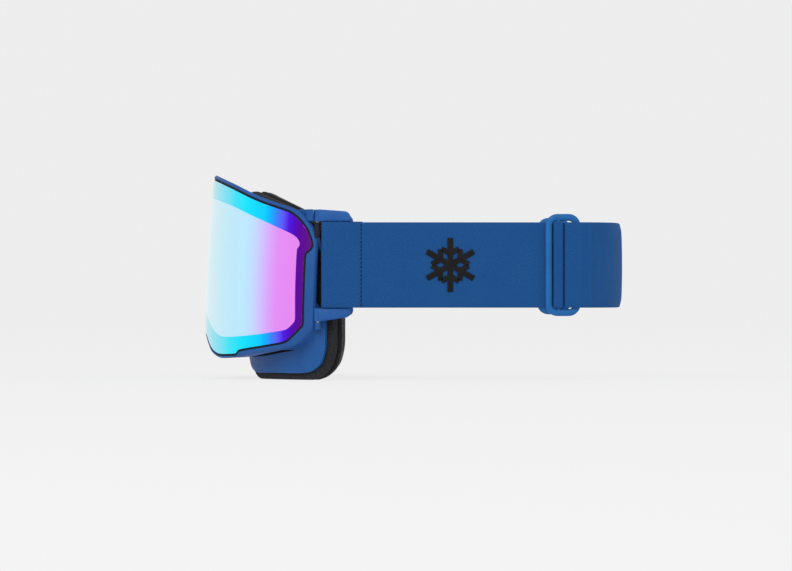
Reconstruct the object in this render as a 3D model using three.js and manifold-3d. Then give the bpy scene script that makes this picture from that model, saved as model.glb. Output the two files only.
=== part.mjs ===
// Ski goggles with a magnetic cylindrical lens, a one-piece frame, swinging outriggers and an elastic strap.
// Millimetres, +Z up. The lens faces -Y, the wearer's left is +X, and the goggles stand on the foam at z = 0.
// The origin lies under the middle of the whole object, lens to strap.
import * as THREE from 'three';
import { mergeVertices } from 'three/addons/utils/BufferGeometryUtils.js';
import Module from 'manifold-3d';

const wasm = await Module();
wasm.setup();

// ---- driving dimensions ----
const overallLength = 225; // lens front to the back of the strap
const lensRadius = 90; // outer face of the cylindrical lens
const lensSag = 900; // vertical radius of the lens
const lensFrontZ = 16.4; // height at which the lens reaches furthest forward
const faceFlatness = 0; // radius of the flange that carries the face foam, less the lens's
const faceSetback = 24.3; // lens front to flange, on the centre line
const lensThickness = 1.3;
const innerLensThickness = 0.8;
const spacerThickness = 3;
const wallThickness = 2.2;
const flangeThickness = 2;
const flangeWidth = 9;
const baseFoamThickness = 6;
const comfortFoamThickness = 3.4;
const fleeceThickness = 2.8;
const ventFoamThickness = 2;
const ventFoamSetback = 1; // inside the wall
const sideFoamShare = 0.9; // how far it lies from the bezel towards the shoulder
const sideFoamWidth = 1.6;
const sideFoamHeight = 26;
const sideFoamThickness = 1.2;
const sideFoamRise = 1; // above the wall's middle station
const foamOverhang = 3.5; // face foam past the edge of the flange
const foamWidth = 14;
const strapWidth = 45;
const strapThickness = 1.3;
const strapCentreZ = 60.8;
const strapStandOff = 1.577; // side run of the strap, outside the widest part of the bezel
const foldSetback = 0.056; // shoulder of the frame to the front of the strap's fold round the outrigger bar
const barLength = 13; // outrigger bar, along the strap
const barThickness = 2.5;
const armHeight = 6.2; // outrigger arms above and below the strap
const armThickness = 4.4;
const hingeRadius = 1.6; // frame lug round the hinge pin
const knuckleRadius = 2; // front of each outrigger arm
const pinRadius = 0.8;
const sliderLength = 18.5;
const sliderHeight = 54;
const sliderBar = 3.7; // the two outer bars of the slider
const sliderMiddleBar = 2.1;
const sliderFrontSlot = 2.2; // one layer of strap passes here, and two behind the middle bar
const sliderThickness = 2.4;
const sliderBackset = 155; // lens front to the front edge of the slider, plus the lens gap
const bendDepth = 30; // how far in front of its back the strap starts to turn
const bendPower = 3.2; // squareness of the strap's turn
const magnetRadius = 2.2;
const magnetThickness = 1;
const emblemRadius = 14.5;
const emblemThickness = 0.5;

// ---- clearances ----
const gap = 0.3; // between pieces that touch
const foamGap = 0.5; // between layers of foam
const lensEdgeGap = 1.1; // lens edge to bezel, with the seal's lip between them
const hingeClearance = 0.4;
const strapEdgeGap = 0.6; // strap edges to the arms, and to the ends of the slider's slots

// ---- derived places ----
const lensFrontY = -overallLength / 2;
const lensAxisY = lensFrontY + lensRadius;
const faceRadius = lensRadius + faceFlatness;
const faceAxisY = lensFrontY + faceSetback + faceRadius;
const strapLow = strapCentreZ - strapWidth / 2;
const strapHigh = strapCentreZ + strapWidth / 2;
const strapBackY = overallLength / 2 - strapThickness / 2;
const ledgeFront = lensThickness + 1.6; // depth of the seat behind the lens
const ledgeBack = ledgeFront + 2.2;

// ---- outlines ----
// Each list runs down one half from the top centre to the nose; key k of one list faces key k of the others.
// Lens lists hold distance round the lens, and height; the last two, distance round the flange, and height.
// The distances are for this radius. On another radius each point keeps its angle.
const drawnRadius = 90;
const lensEdge = [
  [0, 107.3], [25, 105.6], [48.2, 101.3], [74.5, 93.6], [92.5, 88.8], [99.7, 84.4],
  [104.5, 79], [107, 73.8], [107.6, 70.4], [105.2, 67.9], [103.8, 66], [103.8, 48],
  [103.8, 30.4], [102.4, 28], [96.6, 22.7], [92.2, 20.2], [76, 17.9], [60.6, 16],
  [58.6, 14.4], [56, 13.7], [39.7, 13.5], [28.3, 16.4], [16.7, 22.6], [0, 27.2],
];
const bezelEdge = [
  [0, 109.8], [25, 108.1], [48.8, 103.8], [75.2, 96.1], [94.6, 91], [103, 86.3],
  [107.8, 80.8], [110.2, 75], [110.7, 70.5], [110.7, 67], [110.7, 63], [110.7, 48],
  [110.7, 30], [109.4, 26.6], [105, 21.9], [97.2, 17.4], [78, 14.6], [63, 12.4],
  [59, 11.9], [55, 11.6], [39.4, 11.2], [26.8, 13.7], [15.3, 19.8], [0, 24.4],
];
const windowEdge = [
  [0, 97.8], [25, 96.2], [49.5, 92.4], [75.4, 84.6], [88, 80.2], [95.3, 77.4],
  [98.8, 75.3], [99.8, 73], [99.9, 71], [99.8, 69], [99.8, 66], [99.8, 48],
  [99.8, 33], [99, 30.5], [95.5, 27.3], [91.5, 26.1], [76, 24.2], [62, 23.1],
  [58, 22.9], [53, 22.7], [42, 22.9], [32, 25.9], [20, 32], [0, 37],
];
const flangeEdge = [
  [0, 97], [22, 96.1], [42, 92.8], [62, 88], [77, 82], [84, 77.5],
  [88, 72.5], [90, 67.5], [91, 63.5], [91.3, 61], [91.5, 58], [91.5, 42],
  [91.5, 21], [91, 15.5], [88.5, 8.5], [82, 4.4], [74, 3.5], [62, 3.5],
  [56, 3.5], [48, 3.5], [33, 3.5], [22.5, 7.5], [13, 20], [0, 33],
];
const shoulderEdge = [
  [0, 101.5], [22, 100.4], [43, 96.9], [64, 91.3], [80, 84.6], [87, 79],
  [89.5, 73.5], [90, 68], [90, 64], [90, 61], [90, 58], [90, 42],
  [90, 31], [89.6, 26.8], [88.6, 22.4], [83, 18], [74, 15.2], [62, 13.8],
  [56, 13.2], [48, 12.5], [33, 11.8], [23.5, 13.6], [14, 21.5], [0, 31.5],
];
const shoulderForward = 3.2; // shoulder to flange
const wrap = lensRadius / drawnRadius;
const lensSide = 103.8 * wrap; // reach of the lens below its side step
const stationsPerKey = 2;
const stationInset = 0.12; // a vent's ends stand this share of a station inside it
const columnSpacing = 2; // the widest columns that are dropped from a pane
const sideBand = 98 * wrap; // every station counts beyond this distance round the lens

const mirrored = (half) => half.slice(1, -1).reverse().map(([across, up]) => [-across, up]);

// The whole outline as evenly numbered stations, smoothed through its keys.
function outline(half, radius) {
  const keys = [...half, ...mirrored(half)]
    .map(([across, up]) => new THREE.Vector3(across * (radius / drawnRadius), up, 0));
  const curve = new THREE.CatmullRomCurve3(keys, true, 'catmullrom', 0.3);
  const count = keys.length * stationsPerKey;
  return Array.from({ length: count }, (_, i) => curve.getPoint(i / count));
}

// Moves each station of an outline outwards; a negative distance moves it inwards.
function grow(stations, distance) {
  const count = stations.length;
  return stations.map((here, i) => {
    const along = stations[(i + 1) % count].clone().sub(stations[(i + count - 1) % count]).normalize();
    return new THREE.Vector3(here.x - along.y * distance, here.y + along.x * distance, 0);
  });
}

// ---- the two curved surfaces ----
function onLens(across, up, depth) {
  const angle = across / lensRadius;
  const reach = lensRadius - depth;
  const rise = up - lensFrontZ;
  const lean = (rise * rise) / (2 * lensSag);
  return new THREE.Vector3(reach * Math.sin(angle), lensAxisY - reach * Math.cos(angle) + lean, up);
}

// forward is towards the lens; the foam lies at negative values.
function onFace(across, up, forward) {
  const angle = across / faceRadius;
  const reach = faceRadius + forward;
  return new THREE.Vector3(reach * Math.sin(angle), faceAxisY - reach * Math.cos(angle), up);
}

const lensRow = (stations, depth) => stations.map((s) => onLens(s.x, s.y, depth));
const faceRow = (stations, forward) => stations.map((s) => onFace(s.x, s.y, forward));

// ---- solid helpers ----
// A closed mesh from points and triangles, turned so that its faces point out.
function closedGeometry(points, triangles) {
  let volume = 0;
  for (const [a, b, c] of triangles) volume += points[a].dot(points[b].clone().cross(points[c]));
  const index = triangles.flatMap(([a, b, c]) => (volume < 0 ? [a, c, b] : [a, b, c]));
  const positions = new Float32Array(points.flatMap((p) => [p.x, p.y, p.z]));
  const geometry = new THREE.BufferGeometry();
  geometry.setAttribute('position', new THREE.BufferAttribute(positions, 3));
  geometry.setIndex(index);
  return geometry;
}

// Skins sections of equal length. A ring closes on itself; otherwise both ends are capped.
function loft(sections, ring) {
  const count = sections.length;
  const size = sections[0].length;
  const triangles = [];
  const quad = (a, b, c, d) => triangles.push([a, b, c], [a, c, d]);
  for (let i = 0; i < (ring ? count : count - 1); i++) {
    const here = i * size;
    const next = ((i + 1) % count) * size;
    for (let j = 0; j < size; j++) {
      const side = (j + 1) % size;
      quad(here + j, here + side, next + side, next + j);
    }
  }
  for (const end of ring ? [] : [0, count - 1]) {
    const base = end * size;
    for (let j = 0; j < size / 2 - 1; j++) {
      const corners = [base + j, base + j + 1, base + size - 2 - j, base + size - 1 - j];
      quad(...(end ? corners : corners.reverse()));
    }
  }
  return closedGeometry(sections.flat(), triangles);
}

// rows are the corners of a section, each a list of stations; a ring of sections comes out.
const sectionsOf = (rows) => rows[0].map((_, i) => rows.map((row) => row[i]));
const ringOf = (...rows) => loft(sectionsOf(rows), true);

function bareOf(geometry) {
  const bare = geometry.clone();
  bare.deleteAttribute('normal');
  bare.deleteAttribute('uv');
  return bare;
}

function solidOf(geometry) {
  const merged = mergeVertices(bareOf(geometry), 1e-3);
  return new wasm.Manifold(new wasm.Mesh({
    numProp: 3,
    vertProperties: merged.attributes.position.array,
    triVerts: new Uint32Array(merged.index.array),
  }));
}

function geometryOf(solid) {
  const { vertProperties, triVerts, numProp } = solid.getMesh();
  const positions = new Float32Array((vertProperties.length / numProp) * 3);
  for (let i = 0; i < positions.length / 3; i++) {
    positions.set(vertProperties.subarray(i * numProp, i * numProp + 3), i * 3);
  }
  const geometry = new THREE.BufferGeometry();
  geometry.setAttribute('position', new THREE.BufferAttribute(positions, 3));
  geometry.setIndex(new THREE.BufferAttribute(new Uint32Array(triVerts), 1));
  return geometry;
}

const join = (...parts) => geometryOf(parts.map(solidOf).reduce((all, part) => all.add(part)));
const cut = (body, ...tools) => geometryOf(
  tools.map(solidOf).reduce((all, tool) => all.subtract(tool), solidOf(body)),
);

const box = (low, high) => new THREE.BoxGeometry(high[0] - low[0], high[1] - low[1], high[2] - low[2])
  .translate((low[0] + high[0]) / 2, (low[1] + high[1]) / 2, (low[2] + high[2]) / 2);

const post = (x, y, radius, low, high, sides = 16) => (
  new THREE.CylinderGeometry(radius, radius, high - low, sides)
    .rotateX(Math.PI / 2).translate(x, y, (low + high) / 2)
);

// A band of webbing on edge: path is its centre line seen from above.
function ribbon(path, thickness, low, high) {
  const side = path.map((here, i) => {
    const along = path[Math.min(i + 1, path.length - 1)].clone().sub(path[Math.max(i - 1, 0)]).normalize();
    return new THREE.Vector2(-along.y, along.x).multiplyScalar(thickness / 2);
  });
  const left = path.map((p, i) => p.clone().add(side[i]));
  const right = path.map((p, i) => p.clone().sub(side[i])).reverse();
  const shape = new THREE.Shape([...left, ...right]);
  return new THREE.ExtrudeGeometry(shape, { depth: high - low, bevelEnabled: false }).translate(0, 0, low);
}

// A path of straight runs whose corners are rounded to a radius, but for the gentle ones.
const gentleTurn = 0.5;
function bentPath(corners, radius, steps = 5) {
  const points = corners.map(([x, y]) => new THREE.Vector2(x, y));
  const path = [points[0]];
  for (let i = 1; i < points.length - 1; i++) {
    const before = points[i].clone().sub(points[i - 1]).normalize();
    const after = points[i + 1].clone().sub(points[i]).normalize();
    const turn = Math.atan2(before.cross(after), before.dot(after));
    if (Math.abs(turn) < gentleTurn) {
      path.push(points[i]);
      continue;
    }
    const start = points[i].clone().addScaledVector(before, -radius * Math.tan(Math.abs(turn) / 2));
    const side = new THREE.Vector2(-before.y, before.x).multiplyScalar(Math.sign(turn) * radius);
    const centre = start.clone().add(side);
    for (let k = 0; k <= steps; k++) path.push(start.clone().rotateAround(centre, (turn * k) / steps));
  }
  return [...path, points.at(-1)];
}

function mirrorX(geometry) {
  const flipped = geometry.clone().scale(-1, 1, 1);
  const index = flipped.index ? flipped.index.array : null;
  if (!index) return mirrorX(mergeVertices(bareOf(geometry), 1e-3));
  for (let i = 0; i < index.length; i += 3) [index[i + 1], index[i + 2]] = [index[i + 2], index[i + 1]];
  return flipped;
}

const mirrorPath = (path) => path.map((p) => new THREE.Vector2(-p.x, p.y));

// ---- materials ----
const finish = (color, roughness, metalness = 0) => (
  new THREE.MeshStandardMaterial({ color, roughness, metalness })
);
const blueFrame = finish(0x1d5493, 0.55);
const mirrorLens = finish(0xb8dcf8, 0.08, 0.9);
const clearLens = finish(0xdfe8ec, 0.1);
const blackRubber = finish(0x151517, 0.7);
const charcoalFoam = finish(0x2e2e30, 0.95);
const blackFleece = finish(0x17171a, 1);
const steel = finish(0xb0b2b5, 0.35, 1);
const blueWebbing = finish(0x1f5593, 0.85);

const goggles = new THREE.Group();
function add(name, geometry, material) {
  const mesh = new THREE.Mesh(geometry, material);
  mesh.name = name;
  goggles.add(mesh);
  return mesh;
}

// ---- frame ----
const lens = outline(lensEdge, lensRadius);
const bezel = outline(bezelEdge, lensRadius);
const lensWindow = outline(windowEdge, lensRadius);
const flange = outline(flangeEdge, faceRadius);
const shoulder = outline(shoulderEdge, faceRadius);
const bezelInner = grow(lens, lensEdgeGap);
const ledgeInner = lensWindow.map((w, i) => w.clone().lerp(lens[i], 0.16));

// Depth of a point behind the outer face of the lens.
function depthOf(p) {
  const rise = p.z - lensFrontZ;
  return lensRadius - Math.hypot(p.x, p.y - lensAxisY - (rise * rise) / (2 * lensSag));
}

const bezelSide = lensRow(bezel, lensThickness);
const shoulderOut = faceRow(shoulder, shoulderForward);
const shoulderIn = faceRow(grow(shoulder, -wallThickness), shoulderForward + 1);

// The wall's inner face runs from the shoulder, parallel to the outer face, to the back of the ledge.
const wallIn = shoulderIn.map((foot, i) => {
  const slope = bezelSide[i].clone().sub(shoulderOut[i]);
  let [near, far] = [0.08, 0.92];
  for (let step = 0; step < 24; step++) {
    const middle = (near + far) / 2;
    if (depthOf(foot.clone().addScaledVector(slope, middle)) > ledgeBack) near = middle;
    else far = middle;
  }
  return foot.clone().addScaledVector(slope, near);
});

const frameRows = {
  bezelFace: lensRow(bezelInner, 0.25),
  bezelRound: lensRow(grow(bezel, -0.9), 0.25),
  bezelSide,
  shoulderOut,
  flangeOut: faceRow(flange, flangeThickness),
  flangeBackOut: faceRow(flange, 0),
  flangeBackIn: faceRow(grow(flange, -flangeWidth), 0),
  flangeIn: faceRow(grow(flange, -flangeWidth), flangeThickness),
  flangeRoot: faceRow(grow(flange, -wallThickness), flangeThickness),
  shoulderIn,
  wallIn,
  ledgeBackIn: lensRow(ledgeInner, ledgeBack),
  ledgeFrontIn: lensRow(ledgeInner, ledgeFront),
  ledgeFrontOut: lensRow(bezelInner, ledgeFront),
};

// A point of a row between two stations; the row closes on itself.
function between(row, place) {
  const count = row.length;
  const start = Math.floor(place);
  return row[(start + count) % count].clone().lerp(row[(start + 1 + count) % count], place - start);
}

// A run of stations between the bezel and the shoulder, as a solid that cuts a vent or fills one.
// A share of 0 is the bezel and 1 the shoulder; front and back are distances out of the wall's outer face.
function wallBlock([first, last], [low, high], front, back) {
  const places = [first + stationInset];
  for (let i = first + 1; i < last; i++) places.push(i);
  places.push(last - stationInset);
  const sections = places.map((place) => {
    const normal = between(shoulderOut, place).sub(between(shoulderIn, place)).normalize();
    const corner = (share, distance) => between(bezelSide, place).lerp(between(shoulderOut, place), share)
      .addScaledVector(normal, distance);
    return [corner(low, front), corner(high, front), corner(high, back), corner(low, back)];
  });
  return loft(sections, false);
}

const key = (k) => k * stationsPerKey;
const stationCount = bezel.length;
// First and last station of each vent on the wearer's left, mirrored by station number, with ribs between.
const windowsIn = (first, last) => Array.from({ length: last - first }, (_, i) => [first + i, first + i + 1]);
const topVents = windowsIn(key(0), key(3));
const bottomVents = [...windowsIn(key(15), key(17)), ...windowsIn(key(19), key(20))];
const sideVent = [[key(10), key(12) - 1]];
const bothSides = (runs) => runs.flatMap(([a, b]) => [[a, b], [stationCount - b, stationCount - a]]);

const widest = (half) => Math.max(...half.map(([across]) => across)) / drawnRadius; // as an angle
const strapHalfSpan = lensRadius * Math.sin(widest(bezelEdge)) + strapStandOff;
const hingeX = strapHalfSpan - 2.9;
const foldY = faceAxisY - (faceRadius + shoulderForward) * Math.cos(widest(shoulderEdge)) + foldSetback;
const hingeY = foldY - hingeRadius - hingeClearance;
const armLowTop = strapLow - strapEdgeGap / 2;
const armHighBottom = strapHigh + strapEdgeGap / 2;
const armHighReach = armHeight + 0.4;
const armLowReach = armHeight + 1;
const armInnerX = hingeX - knuckleRadius;
const armX = armInnerX + armThickness / 2; // middle plane of the arms and the bar
const armOuterX = armInnerX + armThickness;
const highLug = [armHighBottom - gap - 8, armHighBottom - gap];
const lowLug = [armLowTop - armLowReach - gap - 5, armLowTop - armLowReach - gap];
const highPin = [armHighBottom - 6, armHighBottom + 3.7];
const lowPin = [armLowTop - armLowReach - 3.7, armLowTop - 3.3];
const lugReach = 4; // a lug's web, from the pin into the wall
const bossStart = [94.5 * wrap, 4.1]; // distance round the lens and depth, behind the bezel
const bossShoulder = [102.65 * wrap, 2.64];
const bossBackY = hingeY - knuckleRadius - hingeClearance;
const wallReach = 5; // how far a cutter stands out of the wall

// The frame's boss in front of an upper arm, seen from above and extruded upwards.
function bossGeometry() {
  const onBezel = ([across, depth]) => {
    const { x, y } = onLens(across, armHighBottom + 0.4, depth);
    return [x, y];
  };
  const shape = new THREE.Shape([
    onBezel(bossStart), onBezel(bossShoulder), [armOuterX - 1.4, bossBackY - 2.2],
    [armOuterX, bossBackY - 1.2], [armOuterX, bossBackY], [hingeX - 4.5, bossBackY],
  ].map(([x, y]) => new THREE.Vector2(x, y)));
  const boss = new THREE.ExtrudeGeometry(shape, { depth: armHighReach - 0.4, bevelEnabled: false })
    .translate(0, 0, armHighBottom + 0.4);
  return cut(boss, pane(bezelInner, -3, ledgeFront, 3));
}

function frameGeometry() {
  const shell = ringOf(...Object.values(frameRows));
  const throughWall = -wallThickness - 1;
  const vents = [
    ...bothSides(topVents).map((run) => wallBlock(run, [0.45, 0.85], wallReach, throughWall)),
    ...bothSides(bottomVents).map((run) => wallBlock(run, [0.32, 0.88], 1.5, throughWall)),
    ...bothSides(sideVent).map((run) => wallBlock(run, [0.2, 0.85], wallReach, throughWall)),
  ];
  const lugs = [highLug, lowLug].flatMap(([low, high]) => [
    post(hingeX, hingeY, hingeRadius, low, high),
    box([hingeX - lugReach, hingeY - 1.2, low], [hingeX, hingeY + 0.8, high]),
  ]);
  const clearances = [
    post(hingeX, hingeY, knuckleRadius + hingeClearance, highLug[1], armHighBottom + armHeight + 3),
    post(hingeX, hingeY, knuckleRadius + hingeClearance, lowLug[1], armLowTop + gap),
    post(hingeX, hingeY, pinRadius + gap, highPin[0] - gap, armHighBottom, 12),
    post(hingeX, hingeY, pinRadius + gap, lowPin[0] - gap, armLowTop, 12),
  ];
  const pockets = magnetSeats.map(({ across, up }) => (
    disc(across, up, ledgeFront - 1, ledgeFront + magnetThickness + gap, magnetRadius + gap)
  ));
  const both = (parts) => [...parts, ...parts.map(mirrorX)];
  return cut(join(shell, ...both([...lugs, bossGeometry()])), ...vents, ...both(clearances), ...pockets);
}

// ---- lens pair, seal and magnets ----
// Magnet places on the lens: distance round it and height, inside the printed border.
const magnetSeats = [[28, 100.2], [72, 89.2], [45, 18.4]]
  .flatMap(([across, up]) => [{ across: across * wrap, up }, { across: -across * wrap, up }]);

// A disc standing on the lens normal between two depths.
function disc(across, up, front, back, radius) {
  const face = onLens(across, up, front);
  const rear = onLens(across, up, back);
  const axis = rear.clone().sub(face);
  const upward = new THREE.Vector3(0, 1, 0);
  const turn = new THREE.Quaternion().setFromUnitVectors(upward, axis.clone().normalize());
  const middle = face.clone().add(rear).multiplyScalar(0.5);
  return new THREE.CylinderGeometry(radius, radius, axis.length(), 14).applyQuaternion(turn)
    .translate(middle.x, middle.y, middle.z);
}

// A curved pane between two depths, in columns that meet its outline at each station and at its side step.
function pane(stations, front, back, rows, step = 0) {
  const count = stations.length;
  const heightsAt = (across) => {
    const found = [];
    stations.forEach((a, i) => {
      const b = stations[(i + 1) % count];
      if ((a.x - across) * (b.x - across) <= 0 && a.x !== b.x) {
        found.push(a.y + ((b.y - a.y) * (across - a.x)) / (b.x - a.x));
      }
    });
    return [Math.min(...found), Math.max(...found)];
  };
  const places = [...stations.map((s) => s.x), step].filter((x) => x > 0).sort((a, b) => b - a);
  places[0] -= columnSpacing / 4;
  const columns = places.filter((x, i) => i === 0 || places[i - 1] - x > columnSpacing / 60);
  const spread = columns.filter((x, i) => i === 0 || columns[i - 1] - x > columnSpacing / 4 || x > sideBand);
  const across = [...spread, 0, ...spread.map((x) => -x).reverse()];
  const sections = across.map((x) => {
    const [low, high] = heightsAt(x);
    const heights = Array.from({ length: rows + 1 }, (_, r) => low + ((high - low) * r) / rows);
    return [
      ...heights.map((up) => onLens(x, up, front)),
      ...heights.reverse().map((up) => onLens(x, up, back)),
    ];
  });
  return loft(sections, false);
}

function addLens() {
  const innerFront = lensThickness + gap + spacerThickness + gap;
  add('lens_outer', pane(lens, 0, lensThickness, 3, lensSide + 0.08), mirrorLens);
  add('lens_inner', pane(grow(lensWindow, -0.6), innerFront, innerFront + innerLensThickness, 3), clearLens);
  const spacerFront = lensThickness + gap;
  const spacerOut = grow(lensWindow, -0.6);
  const spacerIn = grow(lensWindow, -4.2);
  add('lens_spacer', ringOf(
    lensRow(spacerOut, spacerFront),
    lensRow(spacerOut, spacerFront + spacerThickness),
    lensRow(spacerIn, spacerFront + spacerThickness),
    lensRow(spacerIn, spacerFront),
  ), blackRubber);
  const padFront = lensThickness + gap;
  const padBack = ledgeFront - 1.5 * gap;
  const lip = grow(lens, lensEdgeGap - gap);
  add('lens_seal', ringOf(
    lensRow(grow(lens, gap), 0.6),
    lensRow(lip, 0.6),
    lensRow(lip, padBack),
    lensRow(grow(lens, -2), padBack),
    lensRow(grow(lens, -2), padFront),
    lensRow(grow(lens, gap), padFront),
  ), blackRubber);
  magnetSeats.forEach(({ across, up }, i) => {
    const lensSide = lensThickness + gap;
    add(`lens_magnet_${i + 1}`, disc(across, up, lensSide, lensSide + magnetThickness, magnetRadius), steel);
    const frameSide = disc(across, up, ledgeFront, ledgeFront + magnetThickness, magnetRadius);
    add(`frame_magnet_${i + 1}`, frameSide, steel);
  });
}

// ---- face foam and vent foam ----
function addFoams() {
  const outer = grow(flange, foamOverhang).map((s) => new THREE.Vector3(s.x, Math.max(s.y, 0), 0));
  const inner = grow(flange, foamOverhang - foamWidth);
  const layer = (front, back) => ringOf(
    faceRow(outer, front),
    faceRow(outer, back),
    faceRow(inner, back),
    faceRow(inner, front),
  );
  const layers = [
    ['face_foam_base', baseFoamThickness, charcoalFoam],
    ['face_foam_comfort', comfortFoamThickness, charcoalFoam],
    ['face_fleece', fleeceThickness, blackFleece],
  ];
  let front = -gap;
  for (const [name, thickness, material] of layers) {
    add(name, layer(front, front - thickness + foamGap), material);
    front -= thickness;
  }
}

function addVentFoams() {
  const front = -wallThickness - ventFoamSetback;
  const back = front - ventFoamThickness;
  const lowRun = [key(15) + 1, key(20) + 1];
  const opposite = ([first, last]) => [stationCount - last, stationCount - first];
  add('vent_foam_top', wallBlock([-key(3), key(3)], [0.56, 0.92], front, back), blackRubber);
  add('vent_foam_low_left', wallBlock(lowRun, [0.68, 0.95], front, back), blackRubber);
  add('vent_foam_low_right', wallBlock(opposite(lowRun), [0.68, 0.95], front, back), blackRubber);
  add('vent_foam_side_left', sideFoam(), blackRubber);
  add('vent_foam_side_right', mirrorX(sideFoam()), blackRubber);
}

// A flat strip of foam behind the side vent on the wearer's left.
function sideFoam() {
  const place = key(11);
  const inner = shoulderOut[place].clone().lerp(bezelSide[place], 1 - sideFoamShare)
    .add(shoulderIn[place]).sub(shoulderOut[place]);
  const along = shoulderOut[place].clone().sub(bezelSide[place]);
  const inward = new THREE.Vector3(along.y, -along.x, 0).normalize().multiplyScalar(-1);
  const middle = inner.addScaledVector(inward, ventFoamSetback + sideFoamThickness);
  return new THREE.BoxGeometry(sideFoamWidth, sideFoamThickness, sideFoamHeight)
    .rotateZ(Math.atan2(along.y, along.x)).translate(middle.x, middle.y, middle.z + sideFoamRise);
}

// ---- outriggers ----
const barFrontY = foldY + strapThickness + 0.4;
const barBackY = barFrontY + barLength;
const armBackY = barBackY + 0.8;
const armCorner = 3.6;

// One arm in side view. top is 1 for the arm above the strap and -1 for the one below.
function arm(top) {
  const root = top > 0 ? armHighBottom : armLowTop;
  const reach = top > 0 ? armHighReach : armLowReach;
  const slant = top > 0 ? 1 : 2.2; // how much lower the arm's back end is
  const end = root + top * (reach - slant);
  const shape = new THREE.Shape();
  shape.moveTo(hingeY, root);
  shape.lineTo(armBackY, root);
  shape.lineTo(armBackY, end - top * armCorner);
  shape.quadraticCurveTo(armBackY, end, armBackY - armCorner, end + top * slant * 0.15);
  shape.lineTo(hingeY, root + top * reach);
  return shape;
}

// The shape is drawn with y to the right and z up, so it is turned to stand across X from a given place.
const standAcross = (shape, start, thickness, curveSegments = 6) => (
  new THREE.ExtrudeGeometry(shape, { depth: thickness, bevelEnabled: false, curveSegments })
    .applyMatrix4(new THREE.Matrix4().set(0, 0, 1, start, 1, 0, 0, 0, 0, 1, 0, 0, 0, 0, 0, 1))
);

function outriggerGeometry() {
  const arms = [1, -1].map((top) => standAcross(arm(top), armX - armThickness / 2, armThickness));
  const bar = box(
    [armX - barThickness / 2, barFrontY, armLowTop - 1],
    [armX + barThickness / 2, barBackY, armHighBottom + 1],
  );
  const knuckles = [
    post(hingeX, hingeY, knuckleRadius, armHighBottom, armHighBottom + armHighReach),
    post(hingeX, hingeY, knuckleRadius, armLowTop - armLowReach, armLowTop),
  ];
  const holes = [
    post(hingeX, hingeY, pinRadius + gap, armHighBottom - 1, highPin[1] + gap, 12),
    post(hingeX, hingeY, pinRadius + gap, lowPin[0] - gap, lowPin[1] + gap, 12),
  ];
  return cut(join(...arms, bar, ...knuckles), ...holes);
}

function addOutriggers() {
  const left = outriggerGeometry();
  add('outrigger_left', left, blueFrame);
  add('outrigger_right', mirrorX(left), blueFrame);
  for (const [side, name] of [[1, 'left'], [-1, 'right']]) {
    add(`hinge_pin_upper_${name}`, post(side * hingeX, hingeY, pinRadius, ...highPin, 12), steel);
    add(`hinge_pin_lower_${name}`, post(side * hingeX, hingeY, pinRadius, ...lowPin, 12), steel);
  }
}

// ---- strap ----
const stitchY = foldY + 21; // where the loop's two layers are sewn together
const layerOffset = barThickness / 2 + 0.4 + strapThickness / 2;
const outerX = armX + layerOffset;
const sliderFrontY = lensFrontY + sliderBackset + 27;
const sliderY = sliderFrontY + sliderLength / 2;
const sliderX = strapHalfSpan;
const passOffset = sliderThickness / 2 + gap + strapThickness / 2;
const tailOffset = passOffset + gap + strapThickness;
// The slider's bars, from its middle.
const middleBarFront = -sliderLength / 2 + sliderBar + sliderFrontSlot;
const middleBarBack = middleBarFront + sliderMiddleBar;
const backBarFront = sliderLength / 2 - sliderBar;
const weaveOutY = sliderY + middleBarFront - gap - strapThickness / 2 - 0.1;
const weaveInY = sliderY + middleBarBack + gap + strapThickness / 2;
const wrapY = weaveInY + strapThickness + gap;
const bendRadius = 0.95; // centre line of the strap's tight bends
const loopRadius = 1.8;

// The sewn loop round the outrigger bar, inner end first.
function loopPath() {
  const sewnX = outerX - strapThickness - gap;
  const bend = foldY + strapThickness / 2;
  return bentPath([
    [sewnX, stitchY - gap],
    [sewnX, stitchY - 2.6],
    [armX - layerOffset, barBackY + 0.4],
    [armX - layerOffset, bend],
    [outerX, bend],
    [outerX, stitchY - gap],
  ], loopRadius, 6);
}

// From the stitching back to the slider, over its middle bar, and on as a loose tail inside the rear band.
function frontPath() {
  return bentPath([
    [outerX, stitchY],
    [outerX, stitchY + 14],
    [sliderX - passOffset, sliderFrontY - 14],
    [sliderX - passOffset, weaveOutY],
    [sliderX + passOffset, weaveOutY],
    [sliderX + passOffset, weaveInY],
    [sliderX - tailOffset, weaveInY],
    [sliderX - tailOffset, sliderY + sliderLength / 2 + 7],
  ], bendRadius);
}

// Half of the rear band, from its sewn end round the slider's back bar to the middle of the back.
function rearHalfPath() {
  const startY = strapBackY - bendDepth;
  const seam = sliderY + sliderLength / 2 + 3.2;
  const layer = (strapThickness + gap) / 2;
  const wrap = bentPath([
    [sliderX - layer, seam + 2],
    [sliderX - layer, seam],
    [sliderX - passOffset, sliderY + sliderLength / 2 - 0.4],
    [sliderX - passOffset, wrapY],
    [sliderX + passOffset, wrapY],
    [sliderX + passOffset, sliderY + sliderLength / 2 - 0.4],
    [sliderX + layer, seam],
    [sliderX + layer, seam + 2],
  ], bendRadius);
  const turn = [];
  const steps = 26;
  for (let i = 3; i <= steps; i++) {
    const angle = (i / steps) * Math.PI / 2;
    const across = (sliderX + layer) * Math.cos(angle) ** (2 / bendPower);
    turn.push(new THREE.Vector2(across, startY + bendDepth * Math.sin(angle) ** (2 / bendPower)));
  }
  return [...wrap, ...turn.filter((p) => p.y > seam + 3)];
}

const backPath = rearHalfPath();
const wholeBackPath = [...backPath.slice(0, -1), ...mirrorPath(backPath).reverse()];

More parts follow.
